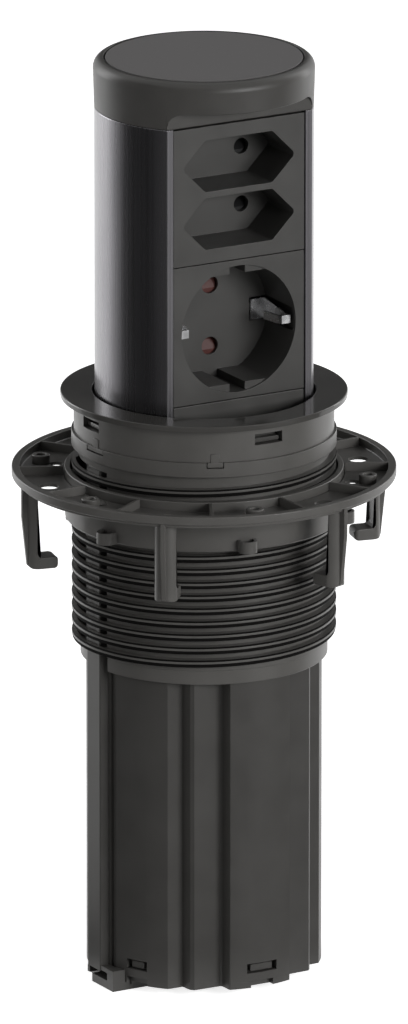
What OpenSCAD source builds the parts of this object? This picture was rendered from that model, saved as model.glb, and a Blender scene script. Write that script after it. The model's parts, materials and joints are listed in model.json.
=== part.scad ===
// Pop up desk socket: a round aluminium tower with two flat Euro sockets and one
// Schuko socket slides up through a flange in a tabletop and down into a long housing.
// Millimetres. The origin is on the tower's axis, in the plane of the tabletop's upper
// surface. +Z is up and the sockets face -Y.

/* [Tower] */
// Outer diameter of the aluminium profile
tower_d = 65.6; // [64:0.1:68]
// Wall of the profile
tower_wall = 2.2; // [1.8:0.1:2.6]
// Distance from the axis to the flat front
face_y = 21.4; // [20.8:0.1:22]
// Thickness of the two lips beside the sockets
lip_t = 2.2; // [1.8:0.1:2.8]
// How far the tower rises above the flange
travel = 102.7; // [101:0.1:108]
// Length of profile left below the tabletop when the tower is up
tail = 63; // [58:1:66]
// Bore of the screw channels in the profile
channel_hole_d = 3.3; // [3:0.1:3.6]

/* [Cap] */
// Height of the cap
cap_h = 14.8; // [14:0.1:17]
// How much wider the cap is at its top, on the radius
cap_flare = 0.35; // [0.2:0.05:0.6]
// Wall of the cap
cap_wall = 2.6; // [2:0.1:3]
// Radius of the cap's rounded rim
cap_round = 3.1; // [2.5:0.1:3.2]
// Diameter of the inlaid disc
disc_d = 59; // [56:0.5:59]
// Thickness of the inlaid disc
disc_t = 1.4; // [1:0.1:1.8]
// Width of the groove round the disc
disc_groove = 0.5; // [0.4:0.1:0.6]
// Height of the finger recess above the cap's lower edge
finger_h = 5.2; // [4.5:0.1:6]
// Corner radius of the finger recess
finger_r = 4.4; // [3:0.1:4.5]

/* [Sockets] */
// Width of the socket modules
module_w = 45; // [44:0.1:45.4]
// Height of the double Euro module
euro_h = 42.4; // [41.6:0.1:43]
// Height of the Schuko module
schuko_h = 43; // [42:0.1:44]
// Thickness of the module front plates
plate_t = 2.2; // [1.8:0.1:2.6]
// Pin spacing of every socket
pin_pitch = 19; // [18.8:0.1:19.2]
// Length of a Euro recess between its points
euro_l = 38.7; // [37.5:0.1:39.5]
// Height of a Euro recess
euro_w = 15.8; // [15:0.1:16.2]
// Depth of a Euro recess
euro_deep = 15.3; // [14:0.1:15.6]
// Distance between the two Euro recesses
euro_pitch = 17.8; // [17.6:0.1:19]
// Diameter of the Euro pin holes
euro_pin_d = 4.9; // [4.6:0.1:5]
// Diameter of the Schuko well
well_d = 39.1; // [38.6:0.1:39.6]
// Depth of the Schuko well
well_deep = 17.5; // [17:0.1:18]
// Diameter of the Schuko pin holes
schuko_pin_d = 5.5; // [5:0.1:5.6]
// Half the distance between the well's two guide ledges
ledge_z = 16.9; // [16.5:0.1:17.5]
// Width of the keyway in each guide ledge
keyway_w = 5.2; // [4.5:0.1:6]
// Travel of the safety shutters
shutter_travel = 5; // [4.8:0.1:5.1]
// Sheet thickness of the earth clip
clip_t = 0.7; // [0.5:0.1:0.8]
// Height of the earth clip where it leaves the floor
clip_w = 6.2; // [5.5:0.1:6.6]

/* [Flange and collar] */
// Thickness of the flange that lies on the tabletop
bezel_t = 1.7; // [1.5:0.1:2.5]
// How far the flange reaches past the collar, on the radius
bezel_lip = 4.05; // [3.5:0.05:6]
// Radial gap between the raised or lowered cap and the flange
bezel_gap = 0.35; // [0.3:0.05:0.6]
// Height of the collar in the desk cut-out
collar_h = 10.4; // [10:0.1:12]
// Width of the collar's snap windows
collar_win_w = 9.4; // [8:0.1:10]
// Height of the collar's snap windows
collar_win_h = 3.4; // [3:0.1:3.8]

/* [Thread] */
// Pitch of the coarse thread
thread_pitch = 4.07; // [3.9:0.01:4.3]
// Height of the thread on the radius
thread_h = 2.1; // [1.9:0.05:2.3]
// Width of the thread's crest
crest_w = 2.3; // [2.1:0.05:2.4]
// Number of turns
thread_turns = 14; // [12:1:15]
// Wall of the threaded sleeve below the thread
sleeve_wall = 2; // [1.8:0.1:2.4]
// Length of the plain band under the thread
sleeve_band = 4.6; // [4:0.1:6]

/* [Clamping ring] */
// Distance from the tabletop's upper surface to the ring's upper face
clamp_depth = 22; // [22:0.1:23]
// Width of the clamping ring from the nut out to its edge
clamp_reach = 15.8; // [15:0.1:17]
// Width of the ring's rim
rim_w = 2.4; // [2:0.1:3]
// Height of the ring's rim
rim_h = 2.6; // [2.4:0.1:3]
// Length of the hooks below the ring's upper face
hook_l = 27.4; // [24:0.1:30]
// Width of a hook
hook_w = 6.8; // [6.4:0.1:7.4]
// Diameter of the screw holes in the ring
ring_hole_d = 6; // [5:0.1:6.2]
// Radius on which the ring's screw holes lie
ring_hole_r = 48.6; // [48.2:0.1:49]
// Wall of the nut outside its thread
nut_wall = 1.8; // [1.6:0.1:2.2]
// Height of the nut
nut_h = 15.4; // [14:0.1:18]
// Radial play in the thread
thread_play = 0.35; // [0.3:0.05:0.45]

/* [Housing] */
// Radial gap between the tower and the housing
tower_gap = 0.6; // [0.5:0.1:0.8]
// Wall of the housing
housing_wall = 2.1; // [1.9:0.1:2.5]
// Height of the rails' outer faces beyond the housing's round wall
rail_rise = 2.7; // [2.4:0.1:2.8]
// Width of the side rails
rail_w = 7.8; // [7.4:0.1:9]
// Free length under the lowered tower
under_gap = 8.8; // [8.8:0.1:12]
// Height of the bottom cap's rim
foot_h = 2.1; // [1.8:0.1:3]
// Height of the lower step at the cable side
step_h = 2.6; // [2:0.1:4]
// Bore of the cable bush
cable_d = 9; // [7:0.5:10]

/* [Hidden] */
$fn = 96;

// Radii, worked outwards from the tower
tower_r = tower_d / 2;
cavity_r = tower_r - tower_wall;
cap_top_r = tower_r + cap_flare;
bezel_bore_r = cap_top_r + bezel_gap;
housing_bore_r = tower_r + tower_gap;
housing_r = housing_bore_r + housing_wall;
seat_gap = 0.2;
sleeve_bore_r = housing_r + seat_gap;
root_r = sleeve_bore_r + sleeve_wall;
crest_r = root_r + thread_h;
collar_inset = 0.7;
collar_r = crest_r - collar_inset;
bezel_r = collar_r + bezel_lip;
nut_bore_r = crest_r + thread_play;
nut_r = nut_bore_r + nut_wall;
clamp_r = nut_r + clamp_reach;
rail_x = housing_r + rail_rise;
rail_corner_r = norm([rail_x, rail_w / 2]);
lip_x = sqrt(tower_r * tower_r - face_y * face_y);

// Heights, worked down from the raised cap
cap_top_z = bezel_t + travel;
cap_bottom_z = cap_top_z - cap_h;
stack_gap = 0.5;
seam = 0.3;
stack_top_z = cap_bottom_z - stack_gap;
euro_z = stack_top_z - euro_h / 2;
schuko_z = stack_top_z - euro_h - schuko_h / 2;
blank_top_z = stack_top_z - euro_h - schuko_h;
tower_end_z = -tail;
head_h = 4.6;
thread_lead = 3.5;
sleeve_top_z = -collar_h;
thread_top_z = sleeve_top_z - head_h - thread_lead;
thread_end_z = thread_top_z - thread_turns * thread_pitch;
sleeve_end_z = thread_end_z - sleeve_band;
nut_z = -clamp_depth;
housing_top_z = sleeve_top_z - 7.6;
housing_end_z = tower_end_z - travel - under_gap;
foot_z = housing_end_z - foot_h;
step_z = foot_z - step_h;

// Clearances shared by pieces that fit together
fit = 0.3;
snug = 0.1;

// Screw channels in the profile
channel_wall = 1.4;
channel_r = cavity_r - 2.2;
channel_angles = [35, 90, 145];
channel_hole_r = channel_hole_d / 2;
screw_head_r = 3.5;
screw_head_h = 2.2;

// Module bodies, measured from the face into the tower
plate_inset = 0.4;
plate_y = -face_y + plate_inset;
flange_t = 1.8;
flange_x = module_w / 2 + 1.1;
body_x = module_w / 2 - 1;
cover_x = module_w / 2 - 2.5;
floor_t = 1.6;
schuko_floor_t = 1.2;
front_deep = 21.9;
cover_deep = 12.8;
cover_wall = 1.6;
contact_leaf_t = 0.6;
contact_w = 5;
bar_t = 1;
bar_w = 6;
bar_y = plate_y + front_deep + cover_deep + fit;
bar_x = pin_pitch / 2;

base_t = 3.5;
base_plug_h = 8;
base_head_h = 1.6;
block_h = 16;
block_w = 36;

thread_segments = 36;
spring_segments = 12;

function unit(v) = v / norm(v);
function normal(v) = [-v[1], v[0]];
function polar(r, a) = [r * cos(a), r * sin(a)];

// Normal of a bent strip at point i, lengthened at the bend so the sheet keeps its thickness
function miter(p, i) =
    let (
        n = len(p),
        a = normal(unit(i > 0 ? p[i] - p[i - 1] : p[1] - p[0])),
        b = normal(unit(i < n - 1 ? p[i + 1] - p[i] : p[n - 1] - p[n - 2])),
        m = unit(a + b)
    )
    m / (m * a);

// Outline of a sheet of thickness t bent along the points p
function strip(p, t) =
    concat(
        [for (i = [0:len(p) - 1]) p[i] + miter(p, i) * t / 2],
        [for (i = [len(p) - 1:-1:0]) p[i] - miter(p, i) * t / 2]
    );

// Polygon p with every corner rounded to radius r in n steps
function rounded(p, r, n) =
    let (count = len(p))
    [for (i = [0:count - 1])
        let (
            u = unit(p[(i + count - 1) % count] - p[i]),
            v = unit(p[(i + 1) % count] - p[i]),
            half = acos(u * v) / 2,
            centre = p[i] + unit(u + v) * r / sin(half),
            from = p[i] + u * r / tan(half) - centre,
            to = p[i] + v * r / tan(half) - centre,
            a0 = atan2(from[1], from[0]),
            turn = (atan2(to[1], to[0]) - a0 + 540) % 360 - 180
        )
        for (k = [0:n]) centre + polar(r, a0 + turn * k / n)
    ];

// Helical ridge from angle a0 to a1. Its height at angle a is z0 + thread_pitch * a / 360.
// The points of its four-sided section come from the function literal section(a).
module helix(a0, a1, z0, section) {
    steps = ceil((a1 - a0) * thread_segments / 360);
    points = [for (i = [0:steps])
        let (a = a0 + (a1 - a0) * i / steps, z = z0 + thread_pitch * a / 360)
        for (q = section(a)) [q[0] * cos(a), q[0] * sin(a), z + q[1]]
    ];
    sides = [for (i = [0:steps - 1]) for (k = [0:3])
        let (a = 4 * i + k, b = 4 * i + (k + 1) % 4)
        each [[a, b, b + 4], [a, b + 4, a + 4]]
    ];
    ends = [[3, 2, 1, 0], [4 * steps, 4 * steps + 1, 4 * steps + 2, 4 * steps + 3]];
    polyhedron(points = points, faces = concat(sides, ends), convexity = 12);
}

// Round wire wound into an open spring that stands on z = 0 and is h high
module coil_spring(r, wire_r, h, turns) {
    sides = 6;
    rings = turns * spring_segments;
    climb = h - 2 * wire_r;
    points = [for (i = [0:rings])
        let (a = i * 360 / spring_segments, z = wire_r + climb * i / rings)
        for (k = [0:sides - 1])
        let (q = polar(wire_r, k * 360 / sides))
        [(r + q[0]) * cos(a), (r + q[0]) * sin(a), z + q[1]]
    ];
    walls = [for (i = [0:rings - 1]) for (k = [0:sides - 1])
        let (a = sides * i + k, b = sides * i + (k + 1) % sides)
        each [[a, b, b + sides], [a, b + sides, a + sides]]
    ];
    ends = [
        [for (k = [sides - 1:-1:0]) k],
        [for (k = [0:sides - 1]) sides * rings + k]
    ];
    polyhedron(points = points, faces = concat(walls, ends), convexity = 12);
}

// Copies its children to the places of the screw channels
module at_channels() {
    for (a = channel_angles)
        translate(concat(polar(channel_r, a), 0)) children();
}

// Turns its children so that +X points out at angle a from the sockets' direction
module facing(a) {
    rotate(a - 90) children();
}

// Half-space in front of y = -d
module in_front(d, size = 120) {
    translate([-size / 2, -d - size / 2, -size * 2]) cube([size, size / 2, size * 4]);
}

// TOWER

module tower_section() {
    difference() {
        circle(r = tower_r);
        translate([-tower_r, -2 * tower_r - face_y]) square(2 * tower_r);
        difference() {
            circle(r = cavity_r);
            translate([-tower_r, -2 * tower_r - face_y + lip_t]) square(2 * tower_r);
        }
        translate([-module_w / 2 - 0.05, -tower_r]) square([module_w + 0.1, tower_r]);
    }
    at_channels() difference() {
        circle(r = channel_hole_r + channel_wall, $fn = 48);
        circle(r = channel_hole_r, $fn = 48);
    }
}

module tower_profile() {
    color("#2f2d30")
    translate([0, 0, tower_end_z])
    linear_extrude(cap_bottom_z - tower_end_z) tower_section();
}

module cap_blank() {
    rim = cap_top_r - cap_round;
    rotate_extrude() polygon(concat(
        [[0, 0], [tower_r, 0]],
        [for (a = [0:15:90]) [rim, cap_h - cap_round] + polar(cap_round, a)],
        [[0, cap_h]]
    ));
}

module finger_recess() {
    w = 2 * lip_x;
    rotate([90, 0, 0]) linear_extrude(tower_r) {
        translate([-w / 2, -1]) square([w, finger_h + 1 - finger_r]);
        translate([-w / 2 + finger_r, -1]) square([w - 2 * finger_r, finger_h + 1]);
        for (s = [-1, 1]) translate([s * (w / 2 - finger_r), finger_h - finger_r]) circle(r = finger_r);
    }
}

module cap() {
    top_plate = 3.2;
    plate_z = cap_h - disc_t - top_plate;
    inner_r = tower_r - cap_wall;
    boss_r = channel_hole_r + channel_wall + 0.4;
    shank_r = channel_hole_r + 0.5;
    color("#343331")
    translate([0, 0, cap_bottom_z])
    difference() {
        union() {
            difference() {
                cap_blank();
                difference() {
                    translate([0, 0, -1]) cylinder(r = inner_r, h = plate_z + 1);
                    in_front(face_y - cap_wall + 0.4);
                }
                intersection() {
                    translate([0, 0, finger_h - 1]) cylinder(r = inner_r, h = plate_z - finger_h + 1);
                    in_front(face_y);
                }
                translate([0, -face_y, 0]) finger_recess();
            }
            at_channels() cylinder(r = boss_r, h = plate_z + 1, $fn = 48);
        }
        translate([0, 0, cap_h - disc_t]) cylinder(r = disc_d / 2 + disc_groove, h = disc_t + 1);
        at_channels() {
            translate([0, 0, -1]) cylinder(r = shank_r, h = cap_h, $fn = 48);
            translate([0, 0, cap_h - disc_t - screw_head_h - snug])
                cylinder(r = screw_head_r + fit, h = screw_head_h + 1, $fn = 48);
        }
    }
}

module cap_disc() {
    edge = 0.3;
    color("#4a4947")
    translate([0, 0, cap_top_z - disc_t])
    rotate_extrude() polygon([
        [0, 0], [disc_d / 2, 0], [disc_d / 2, disc_t - edge], [disc_d / 2 - edge, disc_t], [0, disc_t]
    ]);
}

// Screw with its head up at z = 0. The grip passes freely, the tip bites in the channel.
module channel_screw(grip, bite) {
    socket_r = 1.4;
    difference() {
        union() {
            translate([0, 0, -screw_head_h]) cylinder(r = screw_head_r, h = screw_head_h, $fn = 48);
            translate([0, 0, -screw_head_h - grip]) cylinder(r = channel_hole_r + 0.3, h = grip, $fn = 48);
            translate([0, 0, -screw_head_h - grip - bite])
                cylinder(r = channel_hole_r - 0.05, h = bite, $fn = 48);
        }
        translate([0, 0, -1.2]) cylinder(r = socket_r, h = 2, $fn = 6);
    }
}

module cap_screws() {
    color("#b9bbbd")
    translate([0, 0, cap_top_z - disc_t])
    at_channels() channel_screw(cap_h - disc_t - screw_head_h, 10);
}

// SOCKET MODULES. Each is drawn with its face at y = 0, growing into +Y.

module module_blank(h) {
    translate([-module_w / 2 + snug, 0, -h / 2 + seam / 2]) cube([module_w - 2 * snug, plate_t, h - seam]);
    translate([-flange_x, lip_t, -h / 2 + seam / 2]) cube([2 * flange_x, flange_t, h - seam]);
    translate([-body_x, plate_t - 0.5, -h / 2 + 0.5]) cube([2 * body_x, front_deep - plate_t + 0.5, h - 1]);
}

module pin_holes(d, y, upright) {
    for (s = [-1, 1])
        translate(upright ? [0, y, s * pin_pitch / 2] : [s * pin_pitch / 2, y, 0])
            rotate([-90, 0, 0]) cylinder(d = d, h = floor_t + 2, $fn = 48);
}

module euro_recess() {
    x = euro_l / 2;
    z = euro_w / 2;
    outline = [[x, 0], [x - z, z], [z - x, z], [-x, 0], [z - x, -z], [x - z, -z]];
    corner_r = 1.4;
    rotate([-90, 0, 0]) translate([0, 0, -1]) linear_extrude(euro_deep + 1)
        polygon(rounded(outline, corner_r, 4));
}

// Space for a shutter and its spring, behind a floor at depth y
module shutter_chamber(w, low, high, y) {
    translate([-w / 2, y, -low]) cube([w, front_deep - y + 1, low + high]);
}

euro_chamber_y = euro_deep + floor_t;
euro_shutter_w = pin_pitch + 8;
euro_low = 8.2;
euro_high = 8.5;
schuko_chamber_y = well_deep + schuko_floor_t;
schuko_shutter_w = 9;
schuko_low = 20;
schuko_high = 18.2;

module euro_module() {
    color("#343331")
    translate([0, plate_y, euro_z])
    difference() {
        module_blank(euro_h);
        for (s = [-1, 1]) translate([0, 0, s * euro_pitch / 2]) {
            euro_recess();
            pin_holes(euro_pin_d, euro_deep - 1, false);
            shutter_chamber(euro_shutter_w, euro_low, euro_high, euro_chamber_y);
        }
    }
}

euro_shutter_t = front_deep - euro_chamber_y - 2 * fit;
euro_spring_r = 1.1;
euro_spring_wire_r = 0.22;
euro_spring_h = 13;

// Sliding shutter. Both pins together meet its two slopes and push it down, until its
// windows stand behind the pin holes.
module euro_shutter(s) {
    thin = 1.4;
    slope_h = 1.4;
    bottom = -3;
    window_d = euro_pin_d + 0.1;
    notch_w = 2 * (euro_spring_r + euro_spring_wire_r + fit);
    notch_top = euro_spring_h - euro_low + 2 * snug;
    w = euro_shutter_w - 2 * fit;
    t = euro_shutter_t;
    color("#8c3b2e")
    translate([0, plate_y + euro_chamber_y + fit, euro_z + s * euro_pitch / 2])
    difference() {
        translate([-w / 2, 0, 0]) rotate([90, 0, 90]) linear_extrude(w) polygon([
            [0, bottom], [0, -slope_h], [t - thin, slope_h], [t - thin, euro_high - fit],
            [t, euro_high - fit], [t, bottom]
        ]);
        for (x = [-pin_pitch / 2, pin_pitch / 2])
            translate([x, -1, shutter_travel]) rotate([-90, 0, 0])
                cylinder(d = window_d, h = t + 2, $fn = 40);
        translate([-notch_w / 2, -1, bottom - 1]) cube([notch_w, t + 2, notch_top - bottom + 1]);
    }
}

module euro_spring(s) {
    color("#c9ccd0")
    translate([0, plate_y + euro_chamber_y + fit + euro_shutter_t / 2,
        euro_z + s * euro_pitch / 2 - euro_low + snug])
    coil_spring(euro_spring_r, euro_spring_wire_r, euro_spring_h, 12);
}

// Rear cover with a pocket for each contact. Each spot gives the contact's place [x, z]
// and the x at which its tail leaves through the cover's back.
module cover(h, spots) {
    pocket = 8;
    slot_w = 2;
    end_gap = 0.6;
    translate([0, front_deep, 0]) difference() {
        translate([-cover_x, fit / 2, end_gap - h / 2])
            cube([2 * cover_x, cover_deep - fit / 2, h - 2 * end_gap]);
        for (p = spots) {
            translate([p[0] - pocket / 2, -1, p[1] - pocket / 2])
                cube([pocket, cover_deep - cover_wall + 1, pocket]);
            translate([min(p[0], p[2]) - slot_w / 2, -1, p[1] - bar_w / 2])
                cube([abs(p[0] - p[2]) + slot_w, cover_deep - cover_wall + 1, bar_w]);
            translate([p[2] - slot_w / 2, 0, p[1] - bar_w / 2]) cube([slot_w, cover_deep + 1, bar_w]);
        }
    }
}

euro_spots = [for (x = [-bar_x, bar_x], z = [-1, 1]) [x, z * euro_pitch / 2, x]];
schuko_spots = [for (s = [-1, 1]) [0, s * pin_pitch / 2, -s * bar_x]];

module euro_cover() {
    color("#2a2a2c")
    translate([0, plate_y, euro_z]) cover(euro_h, euro_spots);
}

// Two leaves that pinch a pin, with a web behind them. The tail runs sideways by shift and
// then out to the conductor bar.
module contact(pin_d, shift = 0) {
    t = contact_leaf_t;
    mouth = 0.6;
    pinch = 0.2;
    half = pin_d / 2 + 0.2;
    depth = cover_deep - cover_wall - 1.6;
    tail_end = cover_deep + snug - 1;
    leaves = [[-half - mouth, 0], [-half + pinch, 2.4], [-half, depth], [half, depth],
        [half - pinch, 2.4], [half + mouth, 0]];
    tail = shift == 0 ? [[0, depth], [0, tail_end]] : [[0, depth], [shift, depth], [shift, tail_end]];
    translate([0, front_deep + 1, -contact_w / 2]) linear_extrude(contact_w) {
        polygon(strip(leaves, t));
        polygon(strip(tail, t));
    }
}

module euro_contact(side) {
    color("#c8a050")
    translate([side * bar_x, plate_y, euro_z])
    for (s = [-1, 1]) translate([0, 0, s * euro_pitch / 2]) contact(4);
}

// The well is open to its full radius just behind the face, and further in it is narrowed
// by a ledge above and below, each with a keyway.
module schuko_well() {
    ledge_y = 1;
    r = well_d / 2;
    rotate([-90, 0, 0]) translate([0, 0, -1]) cylinder(r = r, h = ledge_y + 1);
    intersection() {
        rotate([-90, 0, 0]) cylinder(r = r, h = well_deep);
        union() {
            translate([-r, 0, -ledge_z]) cube([2 * r, well_deep, 2 * ledge_z]);
            translate([-keyway_w / 2, 0, -r]) cube([keyway_w, well_deep, 2 * r]);
        }
    }
}

clip_leg_x = 18.6;
clip_foot_x = 13.6;
clip_nose_y = 2.4;
strap_y = front_deep - clip_t / 2 - 0.1;

module schuko_module() {
    slot_w = clip_w + 1;
    slot_x = clip_leg_x + 1.9;
    slot_y = 1.4;
    strap_slot_y = strap_y - clip_t / 2 - 0.2;
    color("#343331")
    translate([0, plate_y, schuko_z])
    difference() {
        module_blank(schuko_h);
        schuko_well();
        pin_holes(schuko_pin_d, well_deep - 1, true);
        shutter_chamber(schuko_shutter_w, schuko_low, schuko_high, schuko_chamber_y);
        for (s = [0, 1]) mirror([s, 0, 0]) translate([clip_foot_x, slot_y, -slot_w / 2])
            cube([slot_x - clip_foot_x, front_deep, slot_w]);
        translate([-clip_foot_x - 1, strap_slot_y, -slot_w / 2]) cube([2 * clip_foot_x + 2, 3, slot_w]);
    }
}

schuko_shutter_t = strap_y - clip_t / 2 - schuko_chamber_y - 0.1 - fit;
module schuko_shutter() {
    thin = 0.9;
    slope_h = 1.4;
    step_z = -1;
    bottom = -13.3;
    top = schuko_high - fit;
    pin_z = pin_pitch / 2;
    window_d = schuko_pin_d + 0.1;
    w = schuko_shutter_w - 2 * fit;
    t = schuko_shutter_t;
    color("#8c3b2e")
    translate([0, plate_y + schuko_chamber_y + 0.1, schuko_z])
    difference() {
        translate([-w / 2, 0, 0]) rotate([90, 0, 90]) linear_extrude(w) polygon([
            [0, bottom], [0, -pin_z - slope_h], [t - thin, slope_h - pin_z], [t - thin, step_z],
            [0, step_z], [0, pin_z - slope_h], [t - thin, pin_z + slope_h], [t - thin, top],
            [t, top], [t, bottom]
        ]);
        for (z = [-pin_z, pin_z]) translate([0, -1, z + shutter_travel])
            rotate([-90, 0, 0]) cylinder(d = window_d, h = t + 2, $fn = 40);
    }
}

module schuko_spring() {
    wire_r = 0.14;
    r = 0.6;
    color("#c9ccd0")
    translate([0, plate_y + schuko_chamber_y + 0.1 + schuko_shutter_t / 2, schuko_z - schuko_low + snug])
    coil_spring(r, wire_r, 6.5, 5);
}

module schuko_cover() {
    tail_slot = 1.4;
    color("#2a2a2c")
    translate([0, plate_y, schuko_z]) difference() {
        cover(schuko_h, schuko_spots);
        translate([-tail_slot / 2, front_deep - 1, -bar_w / 2]) cube([tail_slot, cover_deep + 2, bar_w]);
    }
}

module schuko_contact(s) {
    color("#c8a050")
    translate([0, plate_y, schuko_z + s * pin_pitch / 2]) contact(4.8, -s * bar_x);
}

// One bent strip: a strap behind the well's floor, feet that show in the floor, tapered
// legs along the walls and a narrow tongue folded back into the well on each side.
module earth_half() {
    foot_y = well_deep - clip_t / 2;
    rise_x = clip_foot_x + 0.5;
    tip_w = 2.5;
    nose_x = clip_leg_x - 2.4;
    path = [[0, strap_y], [rise_x, strap_y], [rise_x, foot_y],
        [clip_leg_x, foot_y], [clip_leg_x, clip_nose_y], [nose_x, clip_nose_y]];
    tongue = [[clip_leg_x - 0.4, clip_nose_y], [nose_x, clip_nose_y], [nose_x - 0.9, clip_nose_y + 2],
        [nose_x - 1.7, clip_nose_y + 7.6]];
    taper = [[clip_nose_y - 1, tip_w / 2], [clip_nose_y + 0.6, tip_w / 2], [foot_y - 1.4, clip_w / 2],
        [front_deep + 1, clip_w / 2]];
    intersection() {
        translate([0, 0, -clip_w / 2]) linear_extrude(clip_w) polygon(strip(path, clip_t));
        rotate([90, 0, 90]) linear_extrude(clip_leg_x + 2)
            polygon(concat(taper, [for (i = [3:-1:0]) [taper[i][0], -taper[i][1]]]));
    }
    translate([0, 0, -tip_w / 2]) linear_extrude(tip_w) polygon(strip(tongue, clip_t));
}

module earth_clips() {
    tail_end = front_deep + cover_deep + snug;
    color("#d9dadb")
    translate([0, plate_y, schuko_z]) {
        earth_half();
        mirror([1, 0, 0]) earth_half();
        translate([-clip_t / 2, strap_y, -contact_w / 2]) cube([clip_t, tail_end - strap_y, contact_w]);
    }
}

module blank_module() {
    bottom = tower_end_z + fit;
    h = blank_top_z - bottom;
    rib_y = 6;
    color("#343331")
    translate([0, plate_y, bottom + h / 2]) {
        translate([-module_w / 2 + snug, 0, -h / 2]) cube([module_w - 2 * snug, plate_t, h - seam / 2]);
        translate([-flange_x, lip_t, -h / 2]) cube([2 * flange_x, flange_t, h - seam / 2]);
        for (s = [-1, 1]) translate([s * body_x / 2 - 0.8, lip_t, -h / 2 + base_plug_h + 1])
            cube([1.6, rib_y, h - base_plug_h - 3]);
    }
}

// Conductor bar with a foot that enters the terminal block
module bar(x, top) {
    low = tower_end_z + base_plug_h + block_h / 2 + 3;
    translate([x - bar_w / 2, bar_y, low]) cube([bar_w, bar_t, top - low]);
}

module line_bar() {
    color("#c8a050") bar(-bar_x, euro_z + euro_pitch / 2 + bar_w / 2);
}

module neutral_bar() {
    color("#c8a050") bar(bar_x, euro_z + euro_pitch / 2 + bar_w / 2);
}

module earth_bar() {
    color("#c8a050") bar(0, schuko_z + bar_w / 2);
}

clamp_screw_r = 1.9;
module terminal_block() {
    wire_r = 2;
    z = tower_end_z + base_plug_h + fit;
    y = bar_y - 8;
    color("#d8d6cf")
    difference() {
        translate([-block_w / 2, y, z]) cube([block_w, 13, block_h]);
        for (x = [-bar_x, 0, bar_x]) {
            translate([x - bar_w / 2 - fit, bar_y - fit, z + 2])
                cube([bar_w + 2 * fit, bar_t + 2 * fit, block_h]);
            translate([x, y - 1, z + block_h / 2 + 3]) rotate([-90, 0, 0])
                cylinder(r = clamp_screw_r + 0.2, h = 9, $fn = 40);
            translate([x, y + 4, z - 1]) cylinder(r = wire_r, h = 8, $fn = 40);
        }
    }
}

module terminal_screws() {
    z = tower_end_z + base_plug_h + fit + block_h / 2 + 3;
    y = bar_y - 8;
    color("#b9bbbd")
    for (x = [-bar_x, 0, bar_x]) translate([x, y + 0.4, z]) rotate([-90, 0, 0]) difference() {
        cylinder(r = clamp_screw_r, h = 7.3, $fn = 40);
        translate([-2, -0.35, -1]) cube([4, 0.7, 2]);
    }
}

lug_w = 4.4;
rail_skin = 1.9;
lug_reach = rail_x - rail_skin;
base_z = tower_end_z - base_t;
module tower_base() {
    plug_r = cavity_r - snug;
    plug_y = face_y - lip_t - flange_t - 1;
    wire_hole_r = 9;
    color("#2a2a2c")
    difference() {
        union() {
            difference() {
                translate([0, 0, base_z]) cylinder(r = tower_r - snug, h = base_t);
                in_front(face_y);
            }
            difference() {
                translate([0, 0, tower_end_z - 0.5]) cylinder(r = plug_r, h = base_plug_h + 0.5);
                in_front(plug_y);
            }
            for (s = [0, 1]) mirror([s, 0, 0]) translate([tower_r - 3, -lug_w / 2, base_z])
                cube([lug_reach - tower_r + 3, lug_w, base_t]);
        }
        translate([0, 0, base_z - 1]) cylinder(r = wire_hole_r, h = base_t + base_plug_h + 2);
        at_channels() {
            translate([0, 0, base_z - 1]) cylinder(r = channel_hole_r + 0.5, h = base_t + 2, $fn = 48);
            translate([0, 0, base_z - 1])
                cylinder(r = screw_head_r + fit, h = base_head_h + snug + 1, $fn = 48);
            translate([0, 0, tower_end_z])
                cylinder(r = channel_hole_r + channel_wall + fit, h = base_plug_h + 1, $fn = 48);
        }
    }
}

module base_screws() {
    bite = 8;
    socket_r = 1.4;
    color("#b9bbbd")
    at_channels() translate([0, 0, base_z]) difference() {
        union() {
            translate([0, 0, snug / 2]) cylinder(r = screw_head_r, h = base_head_h, $fn = 48);
            translate([0, 0, base_head_h])
                cylinder(r = channel_hole_r - 0.05, h = base_t - base_head_h + bite, $fn = 48);
        }
        translate([0, 0, -1]) cylinder(r = socket_r, h = 2, $fn = 6);
    }
}

// FLANGE, COLLAR AND SLEEVE

win_z = -2.5 - collar_win_h / 2;
skirt_r = sleeve_bore_r - fit;
module bezel() {
    edge = 0.5;
    skirt_h = 7.2;
    slit_w = 0.8;
    tab_w = collar_win_w - 0.8;
    tab_h = 1.4;
    tab_z = win_z - collar_win_h / 2 + fit;
    tab_r = collar_r - 1.6;
    color("#343331")
    difference() {
        union() {
            rotate_extrude() polygon([
                [bezel_bore_r, 0], [bezel_r - edge, 0], [bezel_r, edge], [bezel_r, bezel_t - edge],
                [bezel_r - edge, bezel_t], [bezel_bore_r + edge, bezel_t], [bezel_bore_r, bezel_t - edge]
            ]);
            translate([0, 0, -skirt_h]) difference() {
                cylinder(r = skirt_r, h = skirt_h + 0.2);
                translate([0, 0, -1]) cylinder(r = bezel_bore_r, h = skirt_h + 2);
            }
            for (a = [0:90:270]) facing(a) translate([skirt_r - 1, -tab_w / 2, tab_z])
                cube([tab_r - skirt_r + 1, tab_w, tab_h]);
        }
        for (a = [0:90:270], s = [-1, 1]) facing(a)
            translate([bezel_bore_r - 1, s * (tab_w / 2 + slit_w) - slit_w / 2, -skirt_h - 1])
                cube([4, slit_w, skirt_h + 0.4]);
    }
}

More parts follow.
